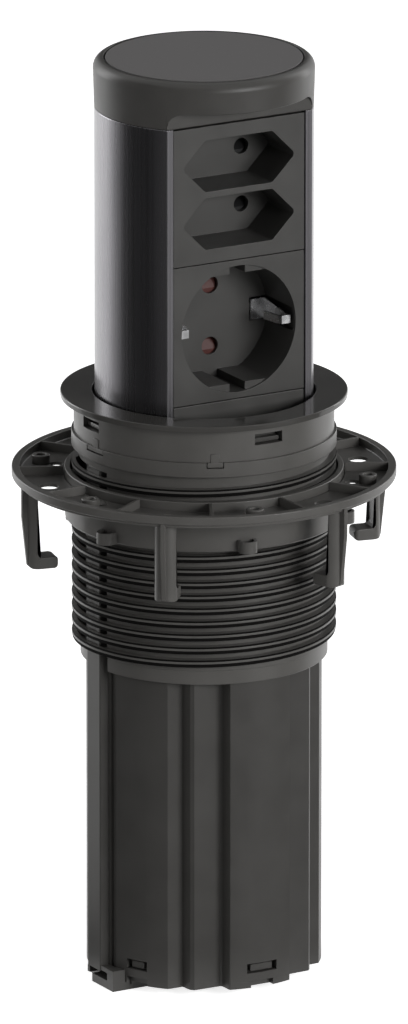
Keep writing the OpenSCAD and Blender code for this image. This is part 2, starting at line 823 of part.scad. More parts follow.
// Facing angle and width of each tab with which the collar latches in the sleeve
latches = [[-24.8, 5], [155.2, 5], [-85.2, 8.4], [94.8, 8.4]];
latch_h = 1.6;
latch_reach = 1.1;
tongue_w = 2.7;
tongue_h = 2.6;
tongue_rise = 0.25;
module collar() {
    lip = 2;
    color("#343331")
    difference() {
        union() {
            translate([0, 0, sleeve_top_z]) cylinder(r = collar_r, h = collar_h);
            translate([0, 0, sleeve_top_z - lip]) cylinder(r = root_r - 0.7, h = lip + 1);
            for (l = latches) facing(l[0]) {
                translate([root_r - 2, -l[1] / 2, sleeve_top_z - latch_h])
                    cube([2 + latch_reach, l[1], latch_h + 1]);
                translate([collar_r - 1, -tongue_w / 2, sleeve_top_z])
                    cube([1 + tongue_rise, tongue_w, tongue_h]);
            }
        }
        translate([0, 0, sleeve_top_z - lip - 1]) cylinder(r = sleeve_bore_r, h = collar_h + lip + 2);
        for (a = [0:90:270]) facing(a)
            translate([sleeve_bore_r - 2, -collar_win_w / 2, win_z - collar_win_h / 2])
                cube([8, collar_win_w, collar_win_h]);
    }
}

// Each side window runs from this far in front of the axis to this far behind it
window_front = 6.5;
window_back = 19;
slot_w = 12;
module threaded_sleeve() {
    deep_r = root_r - 0.7;
    bridge_r = rail_corner_r + 2 * fit;
    window_a = [for (y = [-window_front, window_back]) asin(y / root_r)];
    spare_a = 4;
    // Section of the ridge at angle a. Over the side windows only its outer part runs on.
    section = function (a)
        let (
            side = asin(sin(a)),
            over = side > window_a[0] - spare_a && side < window_a[1] + spare_a,
            inner = over ? bridge_r : deep_r,
            foot_w = crest_w / 2 + 0.1
        )
        [[inner, -foot_w], [crest_r, -crest_w / 2], [crest_r, crest_w / 2], [inner, foot_w]];
    color("#343331")
    union() {
        difference() {
            union() {
                translate([0, 0, thread_end_z - 1])
                    cylinder(r = root_r, h = sleeve_top_z - head_h - thread_end_z + 1.5);
                translate([0, 0, sleeve_top_z - head_h]) cylinder(r = crest_r, h = head_h);
                translate([0, 0, sleeve_end_z]) cylinder(r = root_r - 0.5, h = sleeve_band);
            }
            translate([0, 0, sleeve_end_z - 1])
                cylinder(r = sleeve_bore_r, h = sleeve_top_z - sleeve_end_z + 2);
            translate([0, 0, sleeve_top_z - 2.1]) cylinder(r = root_r - 0.6, h = 4);
            for (l = latches) facing(l[0])
                translate([root_r - 3, -l[1] / 2 - snug, sleeve_top_z - latch_h - snug])
                    cube([6, l[1] + 2 * snug, 5]);
            for (s = [-1, 1]) {
                translate([s * root_r - (s > 0 ? 7 : 3), -window_front, thread_end_z - 0.5])
                    cube([10, window_front + window_back, housing_top_z - thread_end_z + 0.5]);
                translate([s * root_r - 5, -slot_w / 2, sleeve_end_z - 1])
                    cube([10, slot_w, sleeve_band + 3]);
            }
        }
        helix(0, thread_turns * 360, thread_end_z, section);
    }
}

guide_top_z = cap_bottom_z - travel - 1;
pad_gap = 0.1;
module guide_ring() {
    pad_r = tower_r + fit;
    color("#d8d6cf")
    translate([0, 0, housing_top_z])
    difference() {
        cylinder(r = housing_r - snug, h = guide_top_z - housing_top_z);
        difference() {
            translate([0, 0, -1]) cylinder(r = pad_r, h = 20);
            in_front(face_y + fit);
        }
        for (a = [35, 145]) rotate(a) translate([pad_r - 1, -4.3, 0.8]) cube([2.2, 8.6, 20]);
    }
}

module friction_pads() {
    color("#55524e")
    translate([0, 0, housing_top_z])
    intersection() {
        difference() {
            cylinder(r = housing_r - 1, h = guide_top_z - housing_top_z);
            translate([0, 0, -1]) cylinder(r = tower_r + pad_gap, h = 20);
        }
        for (a = [35, 145]) rotate(a) translate([tower_r - 2, -4, 0.9]) cube([2 + fit + 1.1, 8, 20]);
    }
}

// HOUSING

// Facing angle and depth under the round wall of points along one side of the grooved front
front_side = [
    [16.8, 0], [17.5, 0.5], [18.9, 3], [19.7, 3.9], [20.7, 4.2], [34.4, 0.4], [36.5, 0.7],
    [38.8, 1.9], [40.1, 2.8], [41.4, 3.3], [43.1, 2.4], [46.5, 0.5], [47.6, 0]
];
groove_wall = 1.6;
// Space in front of the grooved wall on each side. The walled one lies behind that wall's thickness.
module front_grooves(wall = 0) {
    widen = wall > 0 ? 2.6 : 0;
    out = housing_r + 4;
    for (s = [0, 1]) mirror([s, 0]) polygon(concat(
        [polar(out, front_side[0][0] - widen - 90)],
        [for (i = [0:len(front_side) - 1])
            polar(housing_r - front_side[i][1] - wall, front_side[i][0] - (i < 5 ? widen : 0) - 90)],
        [polar(out, front_side[len(front_side) - 1][0] - 90)]
    ));
}

module rails(reach) {
    for (s = [-1, 1]) translate([s > 0 ? 0 : -reach, -rail_w / 2]) square([reach, rail_w]);
}

rail_groove_a = 79.8;
rail_groove_w = 2.4;
rail_groove_deep = 0.9;
module housing_outline() {
    difference() {
        union() {
            circle(r = housing_r);
            rails(rail_x);
        }
        front_grooves();
        for (side = [-1, 1]) facing(side * rail_groove_a)
            translate([housing_r - rail_groove_deep, -rail_groove_w / 2]) square([3, rail_groove_w]);
    }
}

// Facing angle and width of each snap window, and how far the tab stays clear of its edges
snaps = [[-64.5, 7.2], [0, 10.2], [64.5, 7.2], [180, 10.2]];
snap_h = 3;
snap_z = foot_z + 6.1;
snap_side = 1.4;
snap_play = 0.5;
module housing() {
    h = housing_top_z - housing_end_z;
    channel_y = lug_w / 2 + fit;
    color("#343331")
    difference() {
        translate([0, 0, housing_end_z]) linear_extrude(h) difference() {
            housing_outline();
            difference() {
                circle(r = housing_bore_r);
                front_grooves(groove_wall);
            }
        }
        for (s = [-1, 1])
            translate([s > 0 ? tower_r - 2 : -lug_reach - fit, -channel_y, housing_end_z - 1])
                cube([lug_reach + fit - tower_r + 2, 2 * channel_y, tower_end_z + fit - housing_end_z + 1]);
        for (w = snaps) facing(w[0])
            translate([housing_bore_r - 2, -w[1] / 2, snap_z - snap_h / 2]) cube([8, w[1], snap_h]);
    }
}

module sector(r_in, r_out, half, h) {
    rotate(-half) rotate_extrude(angle = 2 * half) translate([r_in, 0]) square([r_out - r_in, h]);
}

gland_at = [8, 12];
gland_r = cable_d / 2 + 1.9;
module bottom_cap() {
    spigot_h = snap_z + snap_h / 2 - snap_play - housing_end_z;
    spigot_r = housing_bore_r - fit;
    spigot_t = 1.8;
    tab_back = 0.8;
    notch_w = 7.6;
    notch_deep = 2.2;
    step_x = 22;
    duct_x = rail_x - 0.2;
    duct_y = [-11.3, 1.5];
    duct_h = 3.8;
    duct_wall = 3.6;
    mouth_deep = 7;
    color("#343331")
    difference() {
        union() {
            translate([0, 0, foot_z]) linear_extrude(foot_h) housing_outline();
            translate([0, 0, step_z]) linear_extrude(step_h) union() {
                translate([-duct_x, duct_y[0]]) square([duct_x - step_x, duct_y[1] - duct_y[0]]);
                intersection() {
                    circle(r = housing_r - fit);
                    translate([-housing_r, duct_y[0]]) square([housing_r - step_x, -2 * duct_y[0]]);
                }
            }
            translate([0, 0, foot_z]) linear_extrude(duct_h) difference() {
                translate([-duct_x, duct_y[0]]) square([duct_x - step_x, -duct_y[0] - rail_w / 2 - snug]);
                circle(r = housing_r + snug);
            }
            for (w = snaps) facing(w[0]) {
                translate([0, 0, housing_end_z - 0.5])
                    sector(spigot_r - spigot_t, spigot_r, 7, spigot_h + 0.5);
                translate([spigot_r - 1, snap_side - w[1] / 2, snap_z - snap_h / 2 + snap_play])
                    cube([housing_r - tab_back - spigot_r + 1, w[1] - 2 * snap_side, snap_h - 2 * snap_play]);
            }
        }
        for (w = snaps) facing(w[0])
            translate([housing_r - notch_deep, -notch_w / 2, foot_z - 1]) cube([6, notch_w, foot_h + 1.01]);
        translate([-rail_x - 1, duct_y[0] + duct_wall, foot_z])
            cube([mouth_deep, duct_y[1] - duct_y[0] - duct_wall + 1, foot_h + fit]);
        translate([gland_at[0], gland_at[1], foot_z - 1])
            cylinder(r = gland_r + snug, h = foot_h + 2, $fn = 64);
    }
}

module cable_bush() {
    flange_h = 1.5;
    color("#1d1d1e")
    translate([gland_at[0], gland_at[1], foot_z - flange_h])
    difference() {
        union() {
            cylinder(r = gland_r + 1.6, h = flange_h, $fn = 64);
            cylinder(r = gland_r, h = flange_h + foot_h, $fn = 64);
            translate([0, 0, flange_h + foot_h]) cylinder(r = gland_r + 1, h = 1.2, $fn = 64);
        }
        translate([0, 0, -1]) cylinder(r = cable_d / 2, h = foot_h + flange_h + 4, $fn = 64);
    }
}

// CLAMPING RING AND NUT

// Direction of the first hook, counted from +X
hook_angle = 47.9;
floor_top = -2.7;
floor_low = -3.7;
plate_bore_r = nut_r + fit;
// Leg with a flat inner face and a round back, a foot that points inwards and a web behind
module hook() {
    leg_in_r = clamp_r - 4.75;
    back_out_r = clamp_r - 2.25;
    back_r = hook_w / 2 + 0.4;
    back_at = back_out_r - back_r;
    foot_in_r = nut_r + 4.65;
    foot_t = 3.6;
    foot_round = 1.2;
    top = floor_top - 0.5;
    low = foot_round - hook_l;
    web_w = 1.44;
    web_in_r = back_out_r - 1;
    web_top = [clamp_r - 1.8, 0.6 - rim_h];
    web_out_r = clamp_r - 0.45;
    web_straight = 11.4;
    web_end = [clamp_r - 2.05, 0.9 - hook_l];
    side = concat(
        [[leg_in_r, top], [back_out_r + 1, top]],
        [for (a = [0:-30:-90]) [back_out_r + 1 - foot_round, low] + polar(foot_round, a)],
        [for (a = [-90:-30:-180]) [foot_in_r + foot_round, low] + polar(foot_round, a)],
        [for (a = [180:-30:90])
            [foot_in_r + foot_round, foot_t - foot_round - hook_l] + polar(foot_round, a)],
        [[leg_in_r, foot_t - hook_l]]
    );
    web = [
        [web_in_r, top], [web_top[0], top], web_top, [web_out_r, web_top[1]],
        [web_out_r, -web_straight], web_end, [web_in_r, web_end[1]]
    ];
    intersection() {
        translate([0, hook_w / 2, 0]) rotate([90, 0, 0]) linear_extrude(hook_w) polygon(side);
        translate([0, 0, -hook_l - 1]) linear_extrude(hook_l + 1) {
            translate([back_at, 0]) circle(r = back_r, $fn = 48);
            translate([foot_in_r - 1, -hook_w]) square([back_at - foot_in_r + 1, 2 * hook_w]);
        }
    }
    translate([0, web_w / 2, 0]) rotate([90, 0, 0]) linear_extrude(web_w) polygon(web);
}

module clamp_plate() {
    boss_r = 2.7;
    boss_hole_r = 1.35;
    boss_at = 50.2;
    tie_at = 45.4;
    tie_r = 2.1;
    rib_w = 1;
    skirt_in = 1.2;
    boss_angle = hook_angle + 30;
    color("#343331")
    translate([0, 0, nut_z])
    difference() {
        union() {
            difference() {
                translate([0, 0, -rim_h]) cylinder(r = clamp_r, h = rim_h);
                translate([0, 0, -rim_h - 1]) cylinder(r = clamp_r - rim_w, h = rim_h + 2);
            }
            difference() {
                translate([0, 0, floor_low]) cylinder(r = clamp_r - skirt_in, h = -floor_low - 1);
                translate([0, 0, floor_top]) cylinder(r = clamp_r - rim_w, h = 5);
                translate([0, 0, floor_low - 1]) cylinder(r = plate_bore_r, h = 8);
            }
            for (k = [0:11]) rotate(hook_angle + 15 + 30 * k)
                translate([plate_bore_r, -rib_w / 2, floor_top - 0.5])
                    cube([clamp_r - rim_w / 2 - plate_bore_r, rib_w, 0.5 - floor_top]);
            for (k = [0:5]) {
                rotate(boss_angle + 60 * k) translate([boss_at, 0, floor_top - 0.5])
                    cylinder(r = boss_r, h = -floor_top + 0.5, $fn = 40);
                rotate(hook_angle + 60 * k) hook();
            }
        }
        for (k = [0:5]) {
            rotate(boss_angle + 60 * k) {
                translate([boss_at, 0, -10]) cylinder(r = boss_hole_r, h = 20, $fn = 40);
                translate([tie_at, 0, -10]) cylinder(r = tie_r, h = 8, $fn = 40);
            }
            rotate(hook_angle + 60 * k) translate([ring_hole_r, 0, -10])
                cylinder(d = ring_hole_d, h = 8, $fn = 48);
        }
    }
}

module grip_lug() {
    lug_w = 5.6;
    lug_h = 3.6;
    lug_out = nut_r + 4.2;
    difference() {
        union() {
            translate([lug_out - lug_w / 2, 0, 0]) cylinder(r = lug_w / 2, h = lug_h, $fn = 48);
            translate([nut_r - 1, -lug_w / 2, 0]) cube([lug_out - lug_w / 2 - nut_r + 1, lug_w, lug_h]);
        }
        translate([lug_out - lug_w / 2, 0, 0.8]) cylinder(r = lug_w / 2 - 1, h = lug_h, $fn = 48);
    }
}

module hub_nut() {
    shoulder_top = floor_low - fit;
    shoulder_h = 1.6;
    tip_r = rail_corner_r + fit + snug;
    tip_w = 0.35;
    foot_w = 0.5;
    a0 = 360 * ((nut_z - nut_h + 2.4 - thread_end_z) / thread_pitch - 0.5);
    a1 = a0 + 360 * (nut_h - 4.8) / thread_pitch;
    section = function (a)
        [[tip_r, tip_w], [tip_r, -tip_w], [nut_bore_r + 0.8, -foot_w], [nut_bore_r + 0.8, foot_w]];
    color("#343331")
    union() {
        difference() {
            union() {
                translate([0, 0, nut_z]) rotate_extrude() polygon([
                    [nut_bore_r, 0], [nut_r, 0], [nut_r, -nut_h + 4], [nut_r - 0.4, -nut_h],
                    [nut_bore_r, -nut_h]
                ]);
                translate([0, 0, nut_z + shoulder_top - shoulder_h]) difference() {
                    cylinder(r = nut_r + 1.9, h = shoulder_h);
                    translate([0, 0, -1]) cylinder(r = nut_r - 0.5, h = shoulder_h + 2);
                }
                for (k = [0:5]) rotate(hook_angle + 30 + 60 * k)
                    translate([0, 0, nut_z - nut_h]) grip_lug();
            }
            translate([0, 0, nut_z - nut_h - 1]) cylinder(r = nut_bore_r, h = nut_h + 2);
        }
        helix(a0, a1, thread_end_z + thread_pitch / 2, section);
    }
}

tower_profile();
cap();
cap_disc();
cap_screws();
euro_module();
euro_cover();
euro_shutter(1);  // euro_shutter_upper
euro_shutter(-1);  // euro_shutter_lower
euro_spring(1);  // euro_spring_upper
euro_spring(-1);  // euro_spring_lower
euro_contact(-1);  // euro_contact_line
euro_contact(1);  // euro_contact_neutral
schuko_module();
schuko_cover();
schuko_shutter();
schuko_spring();
schuko_contact(1);  // schuko_contact_line
schuko_contact(-1);  // schuko_contact_neutral
earth_clips();
blank_module();
line_bar();
neutral_bar();
earth_bar();
terminal_block();
terminal_screws();
tower_base();
base_screws();
bezel();
collar();
threaded_sleeve();
guide_ring();
friction_pads();
housing();
bottom_cap();
cable_bush();
clamp_plate();
hub_nut();
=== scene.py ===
"""Looks of a pop up desk socket: its visible pieces, their finishes and the studio around it."""

import json
import math

import bmesh
import bpy
from mathutils import Vector
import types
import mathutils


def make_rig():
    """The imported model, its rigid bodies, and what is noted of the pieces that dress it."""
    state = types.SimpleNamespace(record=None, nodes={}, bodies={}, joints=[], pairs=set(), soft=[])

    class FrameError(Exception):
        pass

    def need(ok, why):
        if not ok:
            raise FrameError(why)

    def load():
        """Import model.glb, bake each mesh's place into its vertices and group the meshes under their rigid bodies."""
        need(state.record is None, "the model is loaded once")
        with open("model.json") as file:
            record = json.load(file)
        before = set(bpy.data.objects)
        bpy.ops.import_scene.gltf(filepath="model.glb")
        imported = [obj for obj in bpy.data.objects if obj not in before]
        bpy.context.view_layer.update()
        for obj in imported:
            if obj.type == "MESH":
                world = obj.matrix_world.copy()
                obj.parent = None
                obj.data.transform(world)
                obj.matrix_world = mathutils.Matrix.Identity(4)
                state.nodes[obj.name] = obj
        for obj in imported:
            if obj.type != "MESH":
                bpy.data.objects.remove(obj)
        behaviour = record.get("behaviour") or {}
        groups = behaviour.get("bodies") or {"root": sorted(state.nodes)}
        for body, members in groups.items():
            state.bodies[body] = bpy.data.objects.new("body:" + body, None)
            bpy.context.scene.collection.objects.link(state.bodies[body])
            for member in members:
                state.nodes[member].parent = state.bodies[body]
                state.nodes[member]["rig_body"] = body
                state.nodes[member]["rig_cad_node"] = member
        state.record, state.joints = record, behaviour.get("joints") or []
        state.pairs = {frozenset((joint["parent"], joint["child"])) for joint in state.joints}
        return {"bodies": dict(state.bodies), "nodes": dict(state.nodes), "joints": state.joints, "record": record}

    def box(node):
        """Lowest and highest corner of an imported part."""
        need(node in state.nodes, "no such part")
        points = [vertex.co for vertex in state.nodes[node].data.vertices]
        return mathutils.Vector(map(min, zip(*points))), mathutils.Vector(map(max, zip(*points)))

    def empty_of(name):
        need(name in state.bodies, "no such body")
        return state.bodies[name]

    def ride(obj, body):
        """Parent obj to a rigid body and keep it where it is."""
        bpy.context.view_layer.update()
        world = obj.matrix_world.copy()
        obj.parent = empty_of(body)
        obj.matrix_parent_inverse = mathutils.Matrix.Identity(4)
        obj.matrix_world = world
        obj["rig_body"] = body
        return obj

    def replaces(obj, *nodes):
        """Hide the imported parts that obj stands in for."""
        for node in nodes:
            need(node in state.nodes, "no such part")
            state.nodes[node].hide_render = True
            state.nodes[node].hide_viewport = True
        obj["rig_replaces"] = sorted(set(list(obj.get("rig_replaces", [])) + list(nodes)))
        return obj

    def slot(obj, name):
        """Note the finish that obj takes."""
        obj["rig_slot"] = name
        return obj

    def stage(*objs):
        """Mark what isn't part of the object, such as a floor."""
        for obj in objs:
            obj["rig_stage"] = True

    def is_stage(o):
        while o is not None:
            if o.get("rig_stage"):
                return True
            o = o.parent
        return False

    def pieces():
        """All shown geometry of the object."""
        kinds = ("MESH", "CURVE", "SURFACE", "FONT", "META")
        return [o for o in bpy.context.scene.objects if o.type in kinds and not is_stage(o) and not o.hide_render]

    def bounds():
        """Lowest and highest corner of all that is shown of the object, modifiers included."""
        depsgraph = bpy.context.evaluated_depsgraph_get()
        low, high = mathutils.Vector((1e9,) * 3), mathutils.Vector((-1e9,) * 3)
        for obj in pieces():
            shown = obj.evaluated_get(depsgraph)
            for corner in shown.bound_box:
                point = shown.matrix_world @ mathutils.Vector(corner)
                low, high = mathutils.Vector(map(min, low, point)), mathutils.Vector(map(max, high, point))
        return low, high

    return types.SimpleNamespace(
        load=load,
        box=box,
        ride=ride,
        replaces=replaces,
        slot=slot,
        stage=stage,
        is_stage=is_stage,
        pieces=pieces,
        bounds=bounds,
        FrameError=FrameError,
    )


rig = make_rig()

bl_info = {
    "name": "Pop Up Desk Socket",
    "version": (1, 0, 0),
    "blender": (4, 5, 0),
    "location": "3D View > Sidebar > Desk Socket",
    "description": "Models the visible pieces of a pop up desk socket and its studio",
    "category": "Add Mesh",
}

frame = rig.load()
CAD_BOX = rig.bounds()
MM = 0.001
TURN = 2 * math.pi
# Points closer than this are merged before an edge is rounded, in millimetres
MERGE = 0.08

# Heights that every piece takes from the frame, in millimetres
CAP_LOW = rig.box("cap")[0].z / MM
CAP_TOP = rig.box("cap")[1].z / MM
TOWER_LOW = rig.box("tower_profile")[0].z / MM
FLANGE_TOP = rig.box("bezel")[1].z / MM
SEAM_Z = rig.box("threaded_sleeve")[1].z / MM
SLEEVE_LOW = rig.box("threaded_sleeve")[0].z / MM
CLAMP_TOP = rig.box("clamp_plate")[1].z / MM
HOUSING_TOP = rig.box("housing")[1].z / MM
HOUSING_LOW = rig.box("housing")[0].z / MM
FOOT_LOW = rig.box("bottom_cap")[0].z / MM


class SocketFinish(bpy.types.PropertyGroup):
    """Colours and roughness of the visible surfaces"""

    aluminium: bpy.props.FloatVectorProperty(
        name="Aluminium", description="Anodised colour of the tower's profile",
        subtype="COLOR", size=3, default=(0.205, 0.2, 0.212), min=0, max=1)
    aluminium_roughness: bpy.props.FloatProperty(
        name="Aluminium roughness", description="Roughness of the anodised profile",
        subtype="FACTOR", default=0.28, min=0, max=1)
    plastic: bpy.props.FloatVectorProperty(
        name="Plastic", description="Colour of the black mouldings",
        subtype="COLOR", size=3, default=(0.045, 0.0435, 0.041), min=0, max=1)
    plastic_roughness: bpy.props.FloatProperty(
        name="Plastic roughness", description="Roughness of the black mouldings",
        subtype="FACTOR", default=0.38, min=0, max=1)
    module: bpy.props.FloatVectorProperty(
        name="Modules", description="Colour of the socket fronts",
        subtype="COLOR", size=3, default=(0.045, 0.044, 0.042), min=0, max=1)
    disc: bpy.props.FloatVectorProperty(
        name="Disc", description="Colour of the inlaid disc",
        subtype="COLOR", size=3, default=(0.29, 0.284, 0.277), min=0, max=1)
    shutter: bpy.props.FloatVectorProperty(
        name="Shutters", description="Colour of the safety shutters",
        subtype="COLOR", size=3, default=(0.055, 0.012, 0.009), min=0, max=1)
    spring_steel: bpy.props.FloatVectorProperty(
        name="Plated steel", description="Colour of the plated earth clips and screws",
        subtype="COLOR", size=3, default=(0.78, 0.78, 0.79), min=0, max=1)
    brass: bpy.props.FloatVectorProperty(
        name="Brass", description="Colour of the contacts and conductor bars",
        subtype="COLOR", size=3, default=(0.72, 0.52, 0.22), min=0, max=1)


class SocketShape(bpy.types.PropertyGroup):
    """Sizes of the roundings and of the thread"""

    edge: bpy.props.FloatProperty(
        name="Edge rounding", description="Radius of a moulded edge",
        unit="LENGTH", default=0.00025, min=0.0001, max=0.0005, precision=5)
    cap_rim: bpy.props.FloatProperty(
        name="Cap rim", description="Radius of the cap's rounded rim",
        unit="LENGTH", default=0.0031, min=0.002, max=0.0032, precision=4)
    pitch: bpy.props.FloatProperty(
        name="Thread pitch", description="Rise of the coarse thread in one turn",
        unit="LENGTH", default=0.00407, min=0.0039, max=0.0043, precision=5)
    turns: bpy.props.IntProperty(
        name="Thread turns", description="Number of turns of the coarse thread", default=14, min=12, max=15)


class StudioSettings(bpy.types.PropertyGroup):
    """Camera and light"""

    azimuth: bpy.props.FloatProperty(
        name="Azimuth", description="Direction of the camera round the socket",
        subtype="ANGLE", default=math.radians(-29.7))
    elevation: bpy.props.FloatProperty(
        name="Elevation", description="Height angle of the camera",
        subtype="ANGLE", default=math.radians(16.2))
    distance: bpy.props.FloatProperty(
        name="Distance", description="Distance from the camera to the socket",
        unit="LENGTH", default=5.0, min=1, max=20)
    lens: bpy.props.FloatProperty(
        name="Lens", description="Focal length on a 36 mm sensor",
        unit="CAMERA", default=585.4, min=50, max=1200)
    aim: bpy.props.FloatProperty(
        name="Aim height", description="Height on the tower's axis at which the camera looks",
        unit="LENGTH", default=-0.037, precision=4)
    level: bpy.props.FloatProperty(
        name="Light level", description="Scales all the lamps", default=1.0, min=0, max=3)
    floor: bpy.props.FloatVectorProperty(
        name="Floor", description="Colour of the floor", subtype="COLOR", size=3,
        default=(0.92, 0.92, 0.92), min=0, max=1)


# MODELLING


def deselect():
    """Leaves edit mode and deselects every object."""
    if bpy.context.mode != "OBJECT":
        bpy.ops.object.mode_set(mode="OBJECT")
    bpy.ops.object.select_all(action="DESELECT")


def activate(obj):
    """Selects obj alone and makes it the active object."""
    deselect()
    obj.select_set(True)
    bpy.context.view_layer.objects.active = obj


def place(x, y, z):
    """A point given in millimetres, in metres."""
    return Vector((x * MM, y * MM, z * MM))


def draw(name, points, closed=False, fill=False):
    """Draws a line through points by extruding one vertex from each to the next."""
    deselect()
    bpy.ops.mesh.primitive_plane_add(size=MM, location=(0, 0, 0))
    obj = bpy.context.active_object
    obj.name = name
    bpy.ops.object.mode_set(mode="EDIT")
    bpy.ops.mesh.select_all(action="SELECT")
    bpy.ops.mesh.merge(type="CENTER")
    bpy.ops.transform.translate(value=points[0])
    path = list(points) + ([points[0]] if closed or fill else [])
    for here, there in zip(path, path[1:]):
        bpy.ops.mesh.extrude_vertices_move(TRANSFORM_OT_translate={"value": there - here})
    bpy.ops.mesh.select_all(action="SELECT")
    if closed or fill:
        bpy.ops.mesh.remove_doubles(threshold=1e-6)
    if fill:
        bpy.ops.mesh.edge_face_add()
    return obj


def turned(name, profile, steps=128, closed=True):
    """A body of revolution from a profile of (radius, height) in millimetres."""
    draw(name, [place(r, 0, z) for r, z in profile], closed=closed)
    bpy.ops.mesh.spin(steps=steps, angle=TURN, center=(0, 0, 0), axis=(0, 0, 1))
    bpy.ops.mesh.select_all(action="SELECT")
    bpy.ops.mesh.remove_doubles(threshold=1e-6)
    bpy.ops.mesh.normals_make_consistent(inside=False)
    bpy.ops.object.mode_set(mode="OBJECT")
    return bpy.context.active_object


def extruded(name, outline, low, high):
    """An upright prism from an outline of (x, y) in millimetres."""
    draw(name, [place(x, y, low) for x, y in outline], fill=True)
    bpy.ops.mesh.extrude_region_move(TRANSFORM_OT_translate={"value": place(0, 0, high - low)})
    bpy.ops.mesh.select_all(action="SELECT")
    bpy.ops.mesh.normals_make_consistent(inside=False)
    bpy.ops.object.mode_set(mode="OBJECT")
    return bpy.context.active_object


def side_extruded(name, outline, left, right):
    """A prism along Y from an outline of (x, z) in millimetres."""
    draw(name, [place(x, left, z) for x, z in outline], fill=True)
    bpy.ops.mesh.extrude_region_move(TRANSFORM_OT_translate={"value": place(0, right - left, 0)})
    bpy.ops.mesh.select_all(action="SELECT")
    bpy.ops.mesh.normals_make_consistent(inside=False)
    bpy.ops.object.mode_set(mode="OBJECT")
    return bpy.context.active_object


def block(name, low, high):
    """A box between two corners in millimetres."""
    deselect()
    size = place(*high) - place(*low)
    bpy.ops.mesh.primitive_cube_add(size=1, location=(place(*low) + place(*high)) / 2)
    obj = bpy.context.active_object
    obj.name = name
    obj.scale = size
    bpy.ops.object.transform_apply(location=True, rotation=True, scale=True)
    return obj


def rod(name, radius, low, high, at=(0, 0), steps=48):
    """An upright cylinder in millimetres."""
    deselect()
    bpy.ops.mesh.primitive_cylinder_add(
        vertices=steps, radius=radius * MM, depth=(high - low) * MM,
        location=place(at[0], at[1], (low + high) / 2))
    obj = bpy.context.active_object
    obj.name = name
    bpy.ops.object.transform_apply(location=True, rotation=True, scale=True)
    return obj


def turn_to(obj, angle):
    """Turns obj about the tower's axis."""
    activate(obj)
    obj.rotation_euler = (0, 0, math.radians(angle))
    bpy.ops.object.transform_apply(location=False, rotation=True, scale=False)
    return obj


def turned_copies(obj, angles):
    """One copy of obj for each angle, each with its own mesh. The model itself is removed."""
    copies = []
    for angle in angles:
        activate(obj)
        bpy.ops.object.duplicate()
        copies.append(turn_to(bpy.context.active_object, angle))
    bpy.data.objects.remove(obj)
    return copies


def joined(name, pieces):
    """Joins pieces into one object."""
    activate(pieces[0])
    for piece in pieces[1:]:
        piece.select_set(True)
    bpy.ops.object.join()
    bpy.context.active_object.name = name
    return bpy.context.active_object


def combine(obj, other, operation):
    """Applies a Boolean of other to obj and removes other."""
    activate(obj)
    modifier = obj.modifiers.new(operation.title(), "BOOLEAN")
    modifier.object = other
    modifier.operation = operation
    modifier.solver = "EXACT"
    modifier.use_self = operation == "UNION"
    bpy.ops.object.modifier_apply(modifier=modifier.name)
    bpy.data.objects.remove(other)
    return obj


def cut(obj, cutters):
    """Cuts each cutter out of obj."""
    for cutter in cutters:
        combine(obj, cutter, "DIFFERENCE")
    return obj


def rounded_edges(obj, width=None, angle=35, segments=2, clamp=True):
    """Rounds every edge sharper than angle."""
    activate(obj)
    bpy.ops.object.mode_set(mode="EDIT")
    bpy.ops.mesh.select_all(action="SELECT")
    bpy.ops.mesh.remove_doubles(threshold=2e-6)
    bpy.ops.mesh.dissolve_limited(angle_limit=math.radians(0.5))
    bpy.ops.object.mode_set(mode="OBJECT")
    modifier = obj.modifiers.new("Edges", "BEVEL")
    modifier.width = width if width is not None else bpy.context.scene.socket_shape.edge
    modifier.segments = segments
    modifier.limit_method = "ANGLE"
    modifier.angle_limit = math.radians(angle)
    modifier.use_clamp_overlap = clamp
    modifier.miter_outer = "MITER_ARC"
    bpy.ops.object.modifier_apply(modifier=modifier.name)
    return obj


def round_where(obj, where, width, angle=40, segments=3):
    """Rounds the edges sharper than angle whose middle passes the test where, given in millimetres."""
    activate(obj)
    bpy.ops.object.mode_set(mode="EDIT")
    bpy.ops.mesh.select_mode(type="EDGE")
    bpy.ops.mesh.select_all(action="SELECT")
    bpy.ops.mesh.remove_doubles(threshold=MERGE * MM)
    bpy.ops.mesh.select_all(action="DESELECT")
    mesh = bmesh.from_edit_mesh(obj.data)
    for edge in mesh.edges:
        middle = (edge.verts[0].co + edge.verts[1].co) / 2 / MM
        sharp = len(edge.link_faces) == 2 and edge.calc_face_angle() > math.radians(angle)
        edge.select_set(sharp and where(middle))
    bmesh.update_edit_mesh(obj.data)
    bpy.ops.mesh.bevel(offset=width * MM, segments=segments, affect="EDGES", miter_outer="ARC")
    bpy.ops.mesh.select_mode(type="VERT")
    bpy.ops.object.mode_set(mode="OBJECT")
    return obj


def smooth(obj, angle=32):
    """Shades obj smooth up to an angle, led by its large faces."""
    activate(obj)
    bpy.ops.object.shade_smooth_by_angle(angle=math.radians(angle))
    weighted = obj.modifiers.new("Normals", "WEIGHTED_NORMAL")
    weighted.keep_sharp = True
    bpy.ops.object.modifier_apply(modifier=weighted.name)
    return obj


def frame_copy(node, name, width=None, clamp=True):
    """A copy of a frame node with its loose triangles merged and its edges rounded."""
    activate(frame["nodes"][node])
    bpy.ops.object.duplicate()
    obj = bpy.context.active_object
    obj.name = name
    obj.parent = None
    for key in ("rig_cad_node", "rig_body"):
        if key in obj:
            del obj[key]
    obj.data.materials.clear()
    bpy.ops.object.mode_set(mode="EDIT")
    bpy.ops.mesh.select_all(action="SELECT")
    bpy.ops.mesh.customdata_custom_splitnormals_clear()
    bpy.ops.mesh.remove_doubles(threshold=2e-6)
    bpy.ops.object.mode_set(mode="OBJECT")
    return smooth(rounded_edges(obj, width, clamp=clamp))


